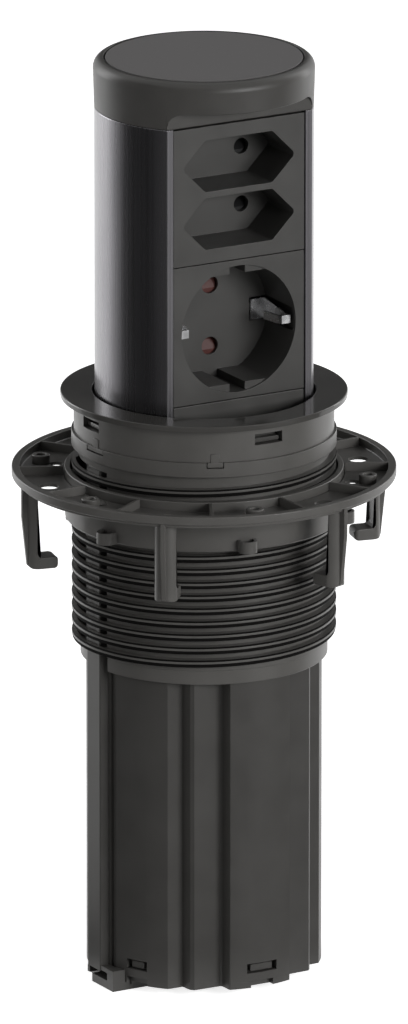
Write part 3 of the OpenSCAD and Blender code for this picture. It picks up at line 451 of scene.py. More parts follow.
def fitted(obj, body, material, slot, *nodes):
    """Gives a finished piece its material, its body and the frame nodes that it stands for."""
    obj.data.materials.clear()
    obj.data.materials.append(material)
    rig.ride(obj, body)
    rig.slot(obj, slot)
    if nodes:
        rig.replaces(obj, *nodes)
    return obj


def coat_where(obj, material, where):
    """Gives a second material to the faces that pass the test where."""
    activate(obj)
    obj.data.materials.append(material)
    obj.active_material_index = 1
    bpy.ops.object.mode_set(mode="EDIT")
    bpy.ops.mesh.select_mode(type="FACE")
    bpy.ops.mesh.select_all(action="DESELECT")
    mesh = bmesh.from_edit_mesh(obj.data)
    for face in mesh.faces:
        face.select_set(where(face))
    bmesh.update_edit_mesh(obj.data)
    bpy.ops.object.material_slot_assign()
    bpy.ops.mesh.select_mode(type="VERT")
    bpy.ops.object.mode_set(mode="OBJECT")
    return obj


def arc(centre, radius, start, end, steps):
    """Points of an arc in a plane, angles in degrees."""
    return [
        (centre[0] + radius * math.cos(math.radians(start + (end - start) * i / steps)),
         centre[1] + radius * math.sin(math.radians(start + (end - start) * i / steps)))
        for i in range(steps + 1)
    ]


def from_front(angle):
    """The angle from +X of a direction counted from the sockets' direction."""
    return angle - 90


# MATERIALS


def shader(name, colour, roughness, metallic=0.0):
    """A new material with its Principled shader."""
    material = bpy.data.materials.new(name)
    material.use_nodes = True
    bsdf = material.node_tree.nodes["Principled BSDF"]
    bsdf.inputs["Base Color"].default_value = (*colour, 1)
    bsdf.inputs["Roughness"].default_value = roughness
    bsdf.inputs["Metallic"].default_value = metallic
    return material, material.node_tree, bsdf


def noise(tree, stretch, detail=3.0):
    """Noise on Object coordinates. The stretch gives its cells per metre along X, Y and Z."""
    where = tree.nodes.new("ShaderNodeTexCoord")
    mapping = tree.nodes.new("ShaderNodeMapping")
    mapping.inputs["Scale"].default_value = stretch
    cells = tree.nodes.new("ShaderNodeTexNoise")
    cells.inputs["Scale"].default_value = 1.0
    cells.inputs["Detail"].default_value = detail
    tree.links.new(where.outputs["Object"], mapping.inputs["Vector"])
    tree.links.new(mapping.outputs["Vector"], cells.inputs["Vector"])
    return cells.outputs["Fac"]


def spread(tree, value, low, high):
    """Maps the middle of a noise to low..high."""
    remap = tree.nodes.new("ShaderNodeMapRange")
    remap.inputs["From Min"].default_value = 0.3
    remap.inputs["From Max"].default_value = 0.7
    remap.inputs["To Min"].default_value = low
    remap.inputs["To Max"].default_value = high
    tree.links.new(value, remap.inputs["Value"])
    return remap.outputs["Result"]


def tinted(tree, bsdf, value, colour, share):
    """Varies the colour by share either way with a noise."""
    ramp = tree.nodes.new("ShaderNodeValToRGB")
    ramp.color_ramp.elements[0].position = 0.3
    ramp.color_ramp.elements[1].position = 0.7
    ramp.color_ramp.elements[0].color = (*[c * (1 - share) for c in colour], 1)
    ramp.color_ramp.elements[1].color = (*[min(1, c * (1 + share)) for c in colour], 1)
    tree.links.new(value, ramp.inputs["Fac"])
    tree.links.new(ramp.outputs["Color"], bsdf.inputs["Base Color"])


def relief(tree, bsdf, value, depth, strength=1.0):
    """Raises the surface by a noise, to a depth in metres."""
    bump = tree.nodes.new("ShaderNodeBump")
    bump.inputs["Distance"].default_value = depth
    bump.inputs["Strength"].default_value = strength
    tree.links.new(value, bump.inputs["Height"])
    tree.links.new(bump.outputs["Normal"], bsdf.inputs["Normal"])


def spark_eroded(name, colour, roughness, grain=2600, depth=4e-6, share=0.07, gloss=0.3):
    """Moulded plastic with the fine even grain of a spark-eroded mould."""
    material, tree, bsdf = shader(name, colour, roughness)
    bsdf.inputs["Specular IOR Level"].default_value = gloss
    fine = noise(tree, (grain, grain, grain), 2.0)
    broad = noise(tree, (90, 90, 90), 3.0)
    tree.links.new(spread(tree, broad, roughness - 0.04, roughness + 0.05), bsdf.inputs["Roughness"])
    tinted(tree, bsdf, broad, colour, share)
    relief(tree, bsdf, fine, depth)
    return material


def drawn_aluminium(name, colour, roughness):
    """Anodised profile with faint lines along the way it was pressed."""
    material, tree, bsdf = shader(name, colour, roughness, 1.0)
    lines = noise(tree, (1400, 1400, 6), 2.0)
    broad = noise(tree, (60, 60, 20), 3.0)
    tree.links.new(spread(tree, lines, roughness - 0.03, roughness + 0.04), bsdf.inputs["Roughness"])
    tinted(tree, bsdf, broad, colour, 0.08)
    relief(tree, bsdf, lines, 1.5e-6)
    return material


def plated(name, colour, roughness):
    """Plated or bare sheet metal with fine rolling marks."""
    material, tree, bsdf = shader(name, colour, roughness, 1.0)
    marks = noise(tree, (500, 500, 3000), 3.0)
    stains = noise(tree, (260, 260, 260), 4.0)
    tree.links.new(spread(tree, stains, roughness - 0.07, roughness + 0.1), bsdf.inputs["Roughness"])
    tinted(tree, bsdf, stains, colour, 0.1)
    relief(tree, bsdf, marks, 4e-6)
    return material


def material_for(finish):
    """The materials by their names, made once."""
    if "anodised_aluminium" not in bpy.data.materials:
        drawn_aluminium("anodised_aluminium", finish.aluminium, finish.aluminium_roughness)
        spark_eroded("moulded_plastic", finish.plastic, finish.plastic_roughness)
        spark_eroded("socket_plastic", finish.module, 0.4)
        spark_eroded("disc_plastic", finish.disc, 0.5, grain=1900, depth=6e-6)
        spark_eroded("flange_plastic", finish.plastic, 0.14, grain=1500, depth=1e-6, share=0.04)
        # A 1.6 times lighter copy of the black plastic for the collar, sleeve, clamping ring and nut: painted light
        # that lifts these lower parts out of the shade they sit in.
        spark_eroded("shade_lifted_plastic", [c * 1.6 for c in finish.plastic], 0.36, gloss=0.38)
        # Near-black copy of the plastic for the sloped facets of the thread's crest: painted shade.
        spark_eroded("thread_painted_shade", [c * 0.1 for c in finish.plastic], 0.75, gloss=0.05)
        spark_eroded("shutter_plastic", finish.shutter, 0.4)
        # Near-black plastic of the covers and the tower base. The Euro shutters take it too, as painted shade in their
        # shadowed holes.
        spark_eroded("cover_plastic_and_painted_shade", (0.012, 0.012, 0.0125), 0.5, gloss=0.2)
        spark_eroded("pale_plastic", (0.62, 0.6, 0.54), 0.45)
        spark_eroded("bush_rubber", (0.02, 0.019, 0.018), 0.6, grain=1200, depth=1e-5)
        plated("plated_steel", finish.spring_steel, 0.24)
        plated("contact_brass", finish.brass, 0.3)
    return bpy.data.materials


# Finishes of the frame's nodes. The collar, sleeve, ring and nut take the lighter copy of the black plastic as painted
# light.
NODE_FINISH = {
    "tower_profile": "anodised_aluminium", "cap": "moulded_plastic", "cap_disc": "disc_plastic",
    "cap_screws": "plated_steel", "euro_module": "socket_plastic", "euro_cover": "cover_plastic_and_painted_shade",
    # The Euro shutters take the near-black cover plastic in place of their shutter colour: painted shade of their
    # shadowed holes.
    "euro_shutter_upper": "cover_plastic_and_painted_shade", "euro_shutter_lower": "cover_plastic_and_painted_shade",
    "euro_spring_upper": "plated_steel", "euro_spring_lower": "plated_steel",
    "euro_contact_line": "contact_brass", "euro_contact_neutral": "contact_brass",
    "schuko_module": "socket_plastic", "schuko_cover": "cover_plastic_and_painted_shade",
    "schuko_shutter": "shutter_plastic", "schuko_spring": "plated_steel",
    "schuko_contact_line": "contact_brass", "schuko_contact_neutral": "contact_brass",
    "earth_clips": "plated_steel", "blank_module": "socket_plastic", "line_bar": "contact_brass",
    "neutral_bar": "contact_brass", "earth_bar": "contact_brass", "terminal_block": "pale_plastic",
    "terminal_screws": "plated_steel", "tower_base": "cover_plastic_and_painted_shade", "base_screws": "plated_steel",
    "bezel": "flange_plastic", "collar": "shade_lifted_plastic", "threaded_sleeve": "shade_lifted_plastic",
    "guide_ring": "pale_plastic", "friction_pads": "bush_rubber", "housing": "moulded_plastic",
    "bottom_cap": "moulded_plastic", "cable_bush": "bush_rubber", "clamp_plate": "shade_lifted_plastic",
    "hub_nut": "shade_lifted_plastic",
}


class SOCKET_OT_finish_nodes(bpy.types.Operator):
    """Gives every frame node its finish"""

    bl_idname = "socket.finish_nodes"
    bl_label = "Finish the Frame's Nodes"

    def execute(self, context):
        materials = material_for(context.scene.socket_finish)
        for name, obj in frame["nodes"].items():
            obj.data.materials.clear()
            obj.data.materials.append(materials[NODE_FINISH[name]])
        return {"FINISHED"}


class SOCKET_OT_cap(bpy.types.Operator):
    """Models the cap with its finger recess, and the inlaid disc"""

    bl_idname = "socket.cap"
    bl_label = "Cap and Disc"

    def execute(self, context):
        materials = material_for(context.scene.socket_finish)
        rim = context.scene.socket_shape.cap_rim / MM
        low, top = CAP_LOW, CAP_TOP
        cap = turned("cap_shell", [
            (0, low), (32.5, low), (32.8, low + 0.3), *arc((33.15 - rim, top - rim), rim, 0, 90, 12),
            (30.2, top), (30.05, top - 0.06), (30, top - 0.2), (30, top - 1.4), (0, top - 1.4),
        ], steps=160, closed=False)
        cavity = trim(rod("cavity", 30.2, low - 1, top - 4.6, steps=96), (0, -1, 0), 19.4)
        recess_high, corner, side = low + 5.2, 4.4, 24.86
        recess = [
            (-side, low - 2), (side, low - 2),
            *arc((side - corner, recess_high - corner), corner, 0, 90, 10),
            *arc((corner - side, recess_high - corner), corner, 90, 180, 10),
        ]
        cut(cap, [cavity, side_extruded("recess", recess, -40, -21.4)])
        round_where(cap, lambda at: at.y < -15 and at.z < recess_high + 1, 0.3)
        fitted(smooth(cap), "tower", materials["moulded_plastic"], "black_plastic", "cap")
        disc = turned("top_disc", [
            (0, top - 1.4), (29.5, top - 1.4), *arc((29.2, top - 0.3), 0.3, 0, 90, 5), (0, top)
        ], steps=160, closed=False)
        fitted(smooth(disc), "tower", materials["disc_plastic"], "disc_plastic", "cap_disc")
        return {"FINISHED"}


class SOCKET_OT_tower(bpy.types.Operator):
    """Models the aluminium profile with its two lips"""

    bl_idname = "socket.tower"
    bl_label = "Tower Profile"

    def execute(self, context):
        materials = material_for(context.scene.socket_finish)
        face, rear = -21.4, -19.2
        outer_r, inner_r, mouth = 32.8, 30.6, 22.55
        outer_end = math.degrees(math.asin(face / outer_r))
        inner_end = math.degrees(math.asin(rear / inner_r))
        outline = [
            *arc((0, 0), outer_r, outer_end, 180 - outer_end, 120),
            (-mouth, face), (-mouth, rear),
            *arc((0, 0), inner_r, 180 - inner_end, inner_end, 90),
            (mouth, rear), (mouth, face),
        ]
        shell = extruded("tower_shell", outline, TOWER_LOW, CAP_LOW)
        rounded_edges(shell, 0.0003, angle=40, segments=3)
        fitted(smooth(shell), "tower", materials["anodised_aluminium"], "anthracite_metal", "tower_profile")
        return {"FINISHED"}


class SOCKET_OT_modules(bpy.types.Operator):
    """Rounds the edges of the socket fronts and of the earth strip"""

    bl_idname = "socket.modules"
    bl_label = "Socket Modules"

    def execute(self, context):
        materials = material_for(context.scene.socket_finish)
        for node, name in (("euro_module", "euro_front"), ("schuko_module", "schuko_front"),
                           ("blank_module", "blank_front")):
            fitted(frame_copy(node, name), "tower", materials["socket_plastic"], "module_plastic", node)
        clips = frame_copy("earth_clips", "earth_strip", 0.0001)
        fitted(clips, "tower", materials["plated_steel"], "bright_steel", "earth_clips")
        return {"FINISHED"}


# Width of the collar's tabs in the sleeve's head, and the angles they face
LATCHES = ((4.8, (-24.8, 155.2)), (8.2, (-85.2, 94.8)))


class SOCKET_OT_flange(bpy.types.Operator):
    """Models the flange with its snap tabs, and the collar with its windows"""

    bl_idname = "socket.flange"
    bl_label = "Flange and Collar"

    def execute(self, context):
        materials = material_for(context.scene.socket_finish)
        top = FLANGE_TOP
        ring = turned("flange_ring", [
            (33.5, -7.2), (35.4, -7.2), (35.4, 0), *arc((43, 0.15), 0.15, -90, 0, 3),
            *arc((42.75, top - 0.4), 0.4, 0, 90, 5), *arc((34, top - 0.5), 0.5, 90, 180, 5),
        ], steps=160)
        slit = block("slit", (30, -0.4, -8), (37, 0.4, -0.8))
        slits = turned_copies(slit, [a + s * 8.6 for a in range(0, 360, 90) for s in (-1, 1)])
        cut(ring, slits)
        tab = block("tab", (34.4, -4.3, -5.6), (37.5, 4.3, -4.2))
        rounded_edges(tab, 0.0003, segments=2)
        tabs = turned_copies(tab, range(0, 360, 90))
        flange = joined("flange_ring", [ring, *tabs])
        fitted(smooth(flange), "base", materials["flange_plastic"], "black_plastic", "bezel")
        seam = SEAM_Z
        collar = turned("collar_ring", [
            (35.7, seam - 2), (37, seam - 2), (37, seam), (39.06, seam), (39.1, seam + 0.04),
            (39.1, -0.1), (39, 0), (35.7, 0),
        ], steps=160)
        window = block("window", (34, -4.7, -5.9), (42, 4.7, -2.5))
        cut(collar, turned_copies(window, range(0, 360, 90)))
        latches = []
        for width, angles in LATCHES:
            base = block("base", (37.2, -width / 2, seam - 1.5), (39.5, width / 2, seam + 0.02))
            tongue = block("tongue", (38.5, -1.35, seam - 0.5), (39.35, 1.35, seam + 2.6))
            for piece in (base, tongue):
                latches += turned_copies(rounded_edges(piece, 0.0002), [from_front(a) for a in angles])
        collar = joined("collar_ring", [collar, *latches])
        fitted(smooth(collar), "base", materials["shade_lifted_plastic"], "black_plastic", "collar")
        return {"FINISHED"}


class SOCKET_OT_sleeve(bpy.types.Operator):
    """Models the threaded sleeve with its two side windows"""

    bl_idname = "socket.sleeve"
    bl_label = "Threaded Sleeve"

    def execute(self, context):
        materials = material_for(context.scene.socket_finish)
        shape = context.scene.socket_shape
        pitch, turns = shape.pitch / MM, shape.turns
        seam, low = SEAM_Z, SLEEVE_LOW
        band_top = low + 4.6
        head_low = seam - 4.6
        body = turned("sleeve_body", [
            (35.7, low), (37, low), (37.2, low + 0.2), (37.2, band_top - 0.3), (37.5, band_top),
            (37.7, band_top), (37.7, head_low), (39.6, head_low), (39.8, head_low + 0.2),
            (39.8, seam - 0.08), (39.72, seam), (37.1, seam), (37.1, seam - 2.1), (35.7, seam - 2.1),
        ], steps=160)
        ridge = draw("ridge", [
            place(37.1, 0, band_top - 1.25), place(39.6, 0, band_top - 1.15), place(39.8, 0, band_top - 0.1),
            place(39.8, 0, band_top + 0.55), place(39.6, 0, band_top + 1.1), place(37.1, 0, band_top + 1.25),
        ], closed=True)
        bpy.ops.object.mode_set(mode="OBJECT")
        screw = ridge.modifiers.new("Screw", "SCREW")
        screw.axis = "Z"
        screw.angle = TURN
        screw.screw_offset = pitch * MM
        screw.iterations = turns
        screw.steps = screw.render_steps = 96
        screw.use_merge_vertices = False
        bpy.ops.object.modifier_apply(modifier=screw.name)
        activate(ridge)
        bpy.ops.object.mode_set(mode="EDIT")
        bpy.ops.mesh.select_all(action="SELECT")
        bpy.ops.mesh.remove_doubles(threshold=1e-6)
        bpy.ops.mesh.select_all(action="DESELECT")
        bpy.ops.mesh.select_non_manifold()
        bpy.ops.mesh.fill()
        bpy.ops.mesh.select_all(action="SELECT")
        bpy.ops.mesh.normals_make_consistent(inside=False)
        bpy.ops.object.mode_set(mode="OBJECT")
        for side in (-1, 1):
            for piece in (body, ridge):
                window = rod("window", 38.5, band_top - 0.5, HOUSING_TOP, steps=128)
                trim(window, (0, 1, 0), 19)
                trim(window, (0, -1, 0), 6.5)
                trim(window, (-side, 0, 0), -30)
                combine(piece, window, "DIFFERENCE")
            x = sorted((side * 30, side * 42))
            cut(body, [block("slot", (x[0], -6, low - 1), (x[1], 6, band_top + 2))])
        for width, angles in LATCHES:
            half = width / 2 + 0.2
            notch = block("notch", (37.15, -half, seam - 1.75), (42, half, seam + 1))
            cut(body, turned_copies(notch, [from_front(a) for a in angles]))
        sleeve = joined("sleeve", [body, ridge])
        fitted(smooth(sleeve, 28), "base", materials["shade_lifted_plastic"], "black_plastic", "threaded_sleeve")
        # The sloped facets above and below the thread's crest face are coated near black: painted shade where they
        # turn away from the light.
        coat_where(sleeve, materials["thread_painted_shade"], lambda face: (
            0.1 < abs(face.normal.z) < 0.6 and face.calc_center_median().xy.length > 39.5 * MM
            and face.calc_center_median().z < (head_low - 0.5) * MM))
        return {"FINISHED"}


def trim(obj, normal, distance):
    """Cuts obj off beyond a plane at a distance in millimetres along its normal."""
    activate(obj)
    bpy.ops.object.mode_set(mode="EDIT")
    bpy.ops.mesh.select_all(action="SELECT")
    bpy.ops.mesh.bisect(
        plane_co=Vector(normal) * distance * MM, plane_no=normal, use_fill=True, clear_outer=True,
        threshold=1e-7)
    bpy.ops.object.mode_set(mode="OBJECT")
    return obj


class SOCKET_OT_clamp(bpy.types.Operator):
    """Models the clamping ring with its spokes, bosses and hooks, and the nut"""

    bl_idname = "socket.clamp"
    bl_label = "Clamping Ring and Nut"

    def execute(self, context):
        materials = material_for(context.scene.socket_finish)
        top = CLAMP_TOP
        hook_angles = [47.9 + 60 * k for k in range(6)]
        boss_angles = [17.9 + 60 * k for k in range(6)]
        ring = turned("ring", [
            (42.25, top - 3.7), *arc((56.25, top - 3.4), 0.3, -90, 0, 3), (56.55, top - 2.6),
            *arc((57.35, top - 2.2), 0.4, -90, 0, 4), *arc((57.45, top - 0.3), 0.3, 0, 90, 4),
            *arc((55.55, top - 0.2), 0.2, 90, 180, 3), (55.35, top - 2.5), (55.15, top - 2.7), (42.25, top - 2.7),
        ], steps=160)
        boss_hole = rod("hole", 1.35, top - 6, top + 1, (50.2, 0))
        tie_hole = rod("hole", 2.1, top - 6, top + 1, (45.4, 0))
        screw_hole = rod("hole", 3, top - 6, top + 1, (48.6, 0))
        cut(ring, turned_copies(tie_hole, boss_angles))
        cut(ring, turned_copies(screw_hole, hook_angles))
        cut(ring, turned_copies(boss_hole, boss_angles))
        spoke = block("spoke", (42.3, -0.5, top - 3.2), (55.5, 0.5, top))
        rounded_edges(spoke, 0.0002)
        spokes = turned_copies(spoke, [2.9 + 30 * k for k in range(12)])
        boss = turned("boss", [
            (1.35, top - 3.2), (2.7, top - 3.2), *arc((2.4, top - 0.3), 0.3, 0, 90, 3),
            *arc((1.6, top - 0.25), 0.25, 90, 180, 3),
        ], steps=40)
        activate(boss)
        boss.location = place(50.2, 0, 0)
        bpy.ops.object.transform_apply(location=True, rotation=False, scale=False)
        bosses = turned_copies(boss, boss_angles)
        hooks = turned_copies(self.hook(top), hook_angles)
        plate = joined("clamping_ring", [ring, *spokes, *bosses, *hooks])
        fitted(smooth(plate), "clamp", materials["shade_lifted_plastic"], "black_plastic", "clamp_plate")
        fitted(self.nut(context, top), "nut", materials["shade_lifted_plastic"], "black_plastic", "hub_nut")
        return {"FINISHED"}

    def hook(self, top):
        """One hook, pointing along +X: a leg with a rounded back and a foot, and a tapered web."""
        inner, outer, tip = 53, 55.5, 46.6
        low, high = top - 27.4, top - 23.8
        side = [
            (inner, top - 3.2), (outer, top - 3.2), *arc((outer - 1.2, low + 1.2), 1.2, 0, -90, 4),
            *arc((tip + 1.3, low + 1.3), 1.3, -90, -180, 4), *arc((tip + 1.3, high - 1.3), 1.3, 180, 90, 4),
            *arc((inner - 1.6, high + 1.6), 1.6, -90, 0, 5),
        ]
        half = 3.4
        back = (half * half + (outer - inner) ** 2) / (2 * (outer - inner))
        plan = [
            *arc((outer - back, 0), back, -72, 72, 16), (inner - 1, half), (tip + 1.2, half),
            *arc((tip + 1.2, half - 1.2), 1.2, 90, 180, 4)[1:], *arc((tip + 1.2, 1.2 - half), 1.2, 180, 270, 4),
            (inner - 1, -half),
        ]
        leg = side_extruded("leg", side, -6, 6)
        combine(leg, extruded("plan", plan, low - 1, top), "INTERSECT")
        round_where(leg, lambda at: at.z < top - 2, 0.3, angle=30)
        web = side_extruded("web", [
            (inner + 1, top - 3.2), (56, top - 3.2), (56, top - 2), (57.3, top - 2), (57.3, top - 11.4),
            (outer + 0.2, low + 0.9), (outer - 0.3, low + 0.4), (inner + 1, low + 0.4),
        ], -0.72, 0.72)
        return joined("hook", [leg, rounded_edges(web, 0.0002)])

    def nut(self, context, top):
        """The threaded hub with its shoulder and six finger lugs."""
        low = top - 15.4
        body = turned("hub", [
            (40.15, low + 0.3), (40.4, low), (41.5, low), (41.75, low + 0.3), (41.95, low + 4),
            (41.95, top - 5.6), (43.7, top - 5.6), (43.85, top - 5.4), (43.85, top - 4), (41.95, top - 4),
            *arc((41.65, top - 0.3), 0.3, 0, 90, 3), *arc((40.45, top - 0.3), 0.3, 90, 180, 3),
        ], steps=160)
        cup = rod("lug", 2.8, low, low + 3.6, (43.35, 0), steps=32)
        neck = block("neck", (40.9, -2.8, low), (43.35, 2.8, low + 3.6))
        combine(cup, neck, "UNION")
        hollow = rod("hollow", 1.9, low + 0.9, low + 6, (43.35, 0), steps=32)
        cut(cup, [hollow, block("throat", (42.1, -1.88, low + 0.92), (43.3, 1.88, low + 6.1))])
        rounded_edges(cup, 0.0002)
        lugs = turned_copies(cup, [17.9 + 60 * k for k in range(6)])
        return smooth(joined("hub", [body, *lugs]))


# Facing angle and depth under the housing's round wall of points along its grooved front
FRONT_SIDE = (
    (16.8, 0), (17.5, 0.5), (18.9, 3), (19.7, 3.9), (20.7, 4.2), (34.4, 0.4), (36.5, 0.7),
    (38.8, 1.9), (40.1, 2.8), (41.4, 3.3), (43.1, 2.4), (46.5, 0.5), (47.6, 0),
)


def housing_outlines():
    """The housing's outer and inner outline in millimetres."""
    wall_r, bore_r, wall = 35.5, 33.4, 1.6
    groove, half_groove, deep = 79.8, 1.95, 0.9
    rail_x, rail_y, corner = 38.2, 3.9, 0.3

    def at(radius, facing):
        angle = math.radians(from_front(facing))
        return (radius * math.cos(angle), radius * math.sin(angle))

    outer = [at(wall_r, a) for a in (0, 4, 8, 12, 15)]
    outer += [at(wall_r - depth, a) for a, depth in FRONT_SIDE]
    outer += [at(wall_r, a) for a in range(50, 78, 4)]
    outer += [at(wall_r, groove - half_groove), at(wall_r - deep, groove - half_groove + 0.2),
              at(wall_r - deep, groove + half_groove - 0.2), at(wall_r, groove + half_groove)]
    rail_root = math.sqrt(wall_r ** 2 - rail_y ** 2)
    outer += [(rail_root, -rail_y), (rail_x - corner, -rail_y), (rail_x, corner - rail_y),
              (rail_x, rail_y - corner), (rail_x - corner, rail_y), (rail_root, rail_y)]
    outer += arc((0, 0), wall_r, math.degrees(math.asin(rail_y / wall_r)), 90, 24)[1:]

    inner = [at(bore_r, a) for a in (0, 5, 10)]
    for i, (a, depth) in enumerate(FRONT_SIDE):
        inner.append(at(min(bore_r, wall_r - depth - wall), a - (2.6 if i < 5 else 0)))
    inner += [at(bore_r, a) for a in range(52, 181, 4)]
    return [half + [(-x, y) for x, y in reversed(half[1:-1])] for half in (outer, inner)]


class SOCKET_OT_housing(bpy.types.Operator):
    """Models the grooved housing and rounds the edges of its bottom cap"""

    bl_idname = "socket.housing"
    bl_label = "Housing"

    def execute(self, context):
        materials = material_for(context.scene.socket_finish)
        outer, inner = housing_outlines()
        shell = extruded("housing_shell", outer, HOUSING_LOW, HOUSING_TOP)
        cut(shell, [extruded("bore", inner, HOUSING_LOW - 1, HOUSING_TOP + 1)])
        snap = HOUSING_LOW - 2.1 + 6.1
        for half, angles in ((3.6, (-64.5, 64.5)), (5.1, (0, 180))):
            window = block("window", (29, -half, snap - 1.5), (40, half, snap + 1.5))
            cut(shell, turned_copies(window, [from_front(a) for a in angles]))
        fitted(smooth(shell, 24), "base", materials["moulded_plastic"], "anthracite_metal", "housing")
        foot = frame_copy("bottom_cap", "foot", 0.0002)
        fitted(foot, "base", materials["moulded_plastic"], "black_plastic", "bottom_cap")
        return {"FINISHED"}


# STAGE


def rays(tree, *kinds):
    """1 for rays of any of these kinds."""
    path = tree.nodes.new("ShaderNodeLightPath")
    value = path.outputs[kinds[0]]
    for kind in kinds[1:]:
        both = tree.nodes.new("ShaderNodeMath")
        both.operation = "MAXIMUM"
        tree.links.new(value, both.inputs[0])
        tree.links.new(path.outputs[kind], both.inputs[1])
        value = both.outputs[0]
    return value


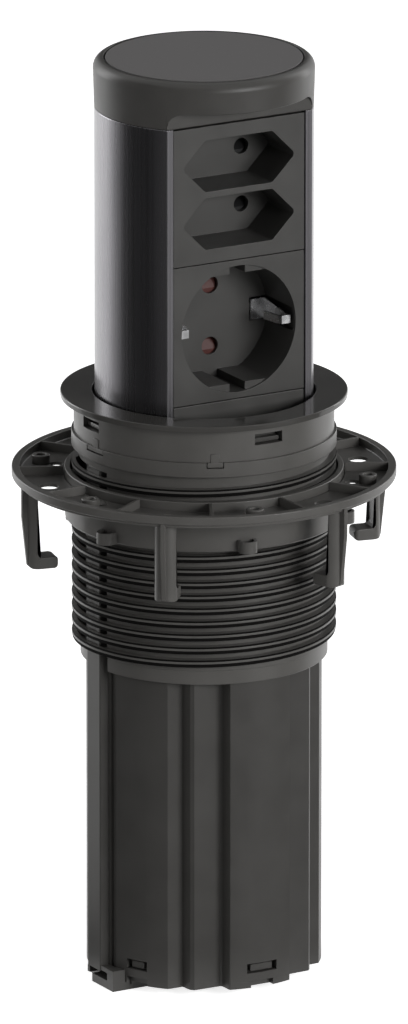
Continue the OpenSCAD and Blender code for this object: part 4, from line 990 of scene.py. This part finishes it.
class SOCKET_OT_stage(bpy.types.Operator):
    """Makes the camera, the lamps, the pale floor and the grey screens that the gloss mirrors"""

    bl_idname = "socket.stage"
    bl_label = "Stage"

    def execute(self, context):
        studio = context.scene.socket_studio
        self.camera(context, studio)
        self.world(context)
        self.floor(studio)
        self.lamps(studio)
        self.screens(studio)
        view = context.scene.view_settings
        view.view_transform = "Standard"
        return {"FINISHED"}

    def towards(self, studio, turn, up):
        """A unit vector at a turn from the camera's direction (to its right) and a height angle."""
        a, e = studio.azimuth + math.radians(turn), math.radians(up)
        return Vector((math.sin(a) * math.cos(e), -math.cos(a) * math.cos(e), math.sin(e)))

    def camera(self, context, studio):
        data = bpy.data.cameras.new("camera")
        data.lens = studio.lens
        data.sensor_width = 36
        data.clip_start, data.clip_end = 0.1, 100
        camera = bpy.data.objects.new("camera", data)
        context.scene.collection.objects.link(camera)
        back = self.towards(studio, 0, math.degrees(studio.elevation))
        camera.location = Vector((0, 0, studio.aim)) + back * studio.distance
        camera.rotation_euler = back.to_track_quat("Z", "Y").to_euler()
        context.scene.camera = camera

    def world(self, context):
        world = bpy.data.worlds.new("studio")
        context.scene.world = world
        world.use_nodes = True
        tree = world.node_tree
        seen = tree.nodes["Background"]
        seen.inputs["Color"].default_value = (1, 1, 1, 1)
        seen.inputs["Strength"].default_value = 1.0
        fill = tree.nodes.new("ShaderNodeBackground")
        fill.inputs["Color"].default_value = (1, 1, 1, 1)
        fill.inputs["Strength"].default_value = 0.15
        mix = tree.nodes.new("ShaderNodeMixShader")
        tree.links.new(rays(tree, "Is Camera Ray", "Is Glossy Ray", "Is Transmission Ray"), mix.inputs[0])
        tree.links.new(fill.outputs[0], mix.inputs[1])
        tree.links.new(seen.outputs[0], mix.inputs[2])
        tree.links.new(mix.outputs[0], tree.nodes["World Output"].inputs["Surface"])

    def floor(self, studio):
        deselect()
        bpy.ops.mesh.primitive_plane_add(size=30, location=(0, 0, (FOOT_LOW - 0.02) * MM))
        floor = bpy.context.active_object
        floor.name = "floor"
        material = bpy.data.materials.new("floor")
        material.use_nodes = True
        tree = material.node_tree
        bsdf = tree.nodes["Principled BSDF"]
        bsdf.inputs["Base Color"].default_value = (*studio.floor, 1)
        bsdf.inputs["Roughness"].default_value = 0.9
        bsdf.inputs["Specular IOR Level"].default_value = 0.1
        glow = tree.nodes.new("ShaderNodeEmission")
        glow.inputs["Strength"].default_value = 0.75
        both = tree.nodes.new("ShaderNodeAddShader")
        mix = tree.nodes.new("ShaderNodeMixShader")
        tree.links.new(bsdf.outputs[0], both.inputs[0])
        tree.links.new(glow.outputs[0], both.inputs[1])
        tree.links.new(rays(tree, "Is Camera Ray", "Is Glossy Ray", "Is Transmission Ray"), mix.inputs[0])
        tree.links.new(bsdf.outputs[0], mix.inputs[1])
        tree.links.new(both.outputs[0], mix.inputs[2])
        tree.links.new(mix.outputs[0], tree.nodes["Material Output"].inputs["Surface"])
        floor.data.materials.append(material)
        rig.stage(floor)

    def lamps(self, studio):
        for name, turn, up, distance, width, height, watts, mirrored in (
            ("key", 45, 14, 1.8, 0.9, 0.6, 28, True),
            ("fill", -70, 10, 1.8, 1.2, 1.2, 8, False),
            ("left_strip", -127, 8, 1.6, 0.6, 1.6, 14, True),
            ("right_strip", 130, 12, 1.6, 0.3, 1.6, 7, True),
        ):
            data = bpy.data.lights.new(name, "AREA")
            data.shape = "RECTANGLE"
            data.size, data.size_y = width, height
            data.energy = watts * studio.level
            lamp = bpy.data.objects.new(name, data)
            lamp.visible_glossy = mirrored
            bpy.context.scene.collection.objects.link(lamp)
            away = self.towards(studio, turn, up)
            lamp.location = away * distance
            lamp.rotation_euler = away.to_track_quat("Z", "Y").to_euler()

    def screens(self, studio):
        """Grey screens round the socket, each swept from the floor up. Only the gloss sees them."""
        ground = (FOOT_LOW - 0.01) * MM
        for name, start, end, low, grey in (
            ("edge_screen", -112, -98, None, 0.6), ("left_screen", -98, -50, None, 0.045),
            ("front_screen", -50, 48, None, 0.12),
            ("bright_screen", 48, 75, None, 0.36), ("right_screen", 75, 104, None, 0.06),
            ("back_screen", 164, 198, 0.05, 0.1),
        ):
            steps = 24
            away = self.towards(studio, end, 0)
            foot = [away * 0.05 + Vector((0, 0, ground)), away * 1.5 + Vector((0, 0, ground))]
            if low is not None:
                foot = [away * 1.5 + Vector((0, 0, low))]
            screen = draw(name, [*foot, away * 1.5 + Vector((0, 0, 1.6))])
            bpy.ops.mesh.spin(steps=steps, angle=math.radians(end - start), center=(0, 0, 0), axis=(0, 0, 1))
            bpy.ops.object.mode_set(mode="OBJECT")
            screen = bpy.context.active_object
            material = bpy.data.materials.new(name)
            material.use_nodes = True
            glow = material.node_tree.nodes.new("ShaderNodeEmission")
            glow.inputs["Color"].default_value = (grey, grey, grey, 1)
            material.node_tree.links.new(
                glow.outputs[0], material.node_tree.nodes["Material Output"].inputs["Surface"])
            screen.data.materials.append(material)
            screen.visible_camera = screen.visible_diffuse = screen.visible_shadow = False
            screen.visible_transmission = screen.visible_volume_scatter = False
            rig.stage(screen)


class SOCKET_PT_panel(bpy.types.Panel):
    """Lists the pieces and their settings"""

    bl_idname = "SOCKET_PT_panel"
    bl_label = "Desk Socket"
    bl_space_type = "VIEW_3D"
    bl_region_type = "UI"
    bl_category = "Desk Socket"

    def draw(self, context):
        for group in (context.scene.socket_finish, context.scene.socket_shape, context.scene.socket_studio):
            box = self.layout.box()
            for name in group.bl_rna.properties.keys():
                if name not in ("rna_type", "name"):
                    box.prop(group, name)
        for operator in PIECES:
            self.layout.operator(operator.bl_idname)


PIECES = (
    SOCKET_OT_finish_nodes, SOCKET_OT_cap, SOCKET_OT_tower, SOCKET_OT_modules, SOCKET_OT_flange,
    SOCKET_OT_sleeve, SOCKET_OT_clamp, SOCKET_OT_housing, SOCKET_OT_stage,
)
CLASSES = (SocketFinish, SocketShape, StudioSettings, *PIECES, SOCKET_PT_panel)


def register():
    for cls in CLASSES:
        bpy.utils.register_class(cls)
    bpy.types.Scene.socket_finish = bpy.props.PointerProperty(type=SocketFinish)
    bpy.types.Scene.socket_shape = bpy.props.PointerProperty(type=SocketShape)
    bpy.types.Scene.socket_studio = bpy.props.PointerProperty(type=StudioSettings)


def unregister():
    del bpy.types.Scene.socket_studio
    del bpy.types.Scene.socket_shape
    del bpy.types.Scene.socket_finish
    for cls in reversed(CLASSES):
        bpy.utils.unregister_class(cls)


def main():
    register()
    bpy.ops.socket.finish_nodes()
    bpy.ops.socket.cap()
    bpy.ops.socket.tower()
    bpy.ops.socket.modules()
    bpy.ops.socket.flange()
    bpy.ops.socket.sleeve()
    bpy.ops.socket.clamp()
    bpy.ops.socket.housing()
    bpy.ops.socket.stage()
    with open("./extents.json", "w") as file:
        json.dump({
            "cad": [list(corner) for corner in CAD_BOX],
            "visual": [list(corner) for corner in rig.bounds()],
        }, file)


if __name__ == "__main__":
    main()
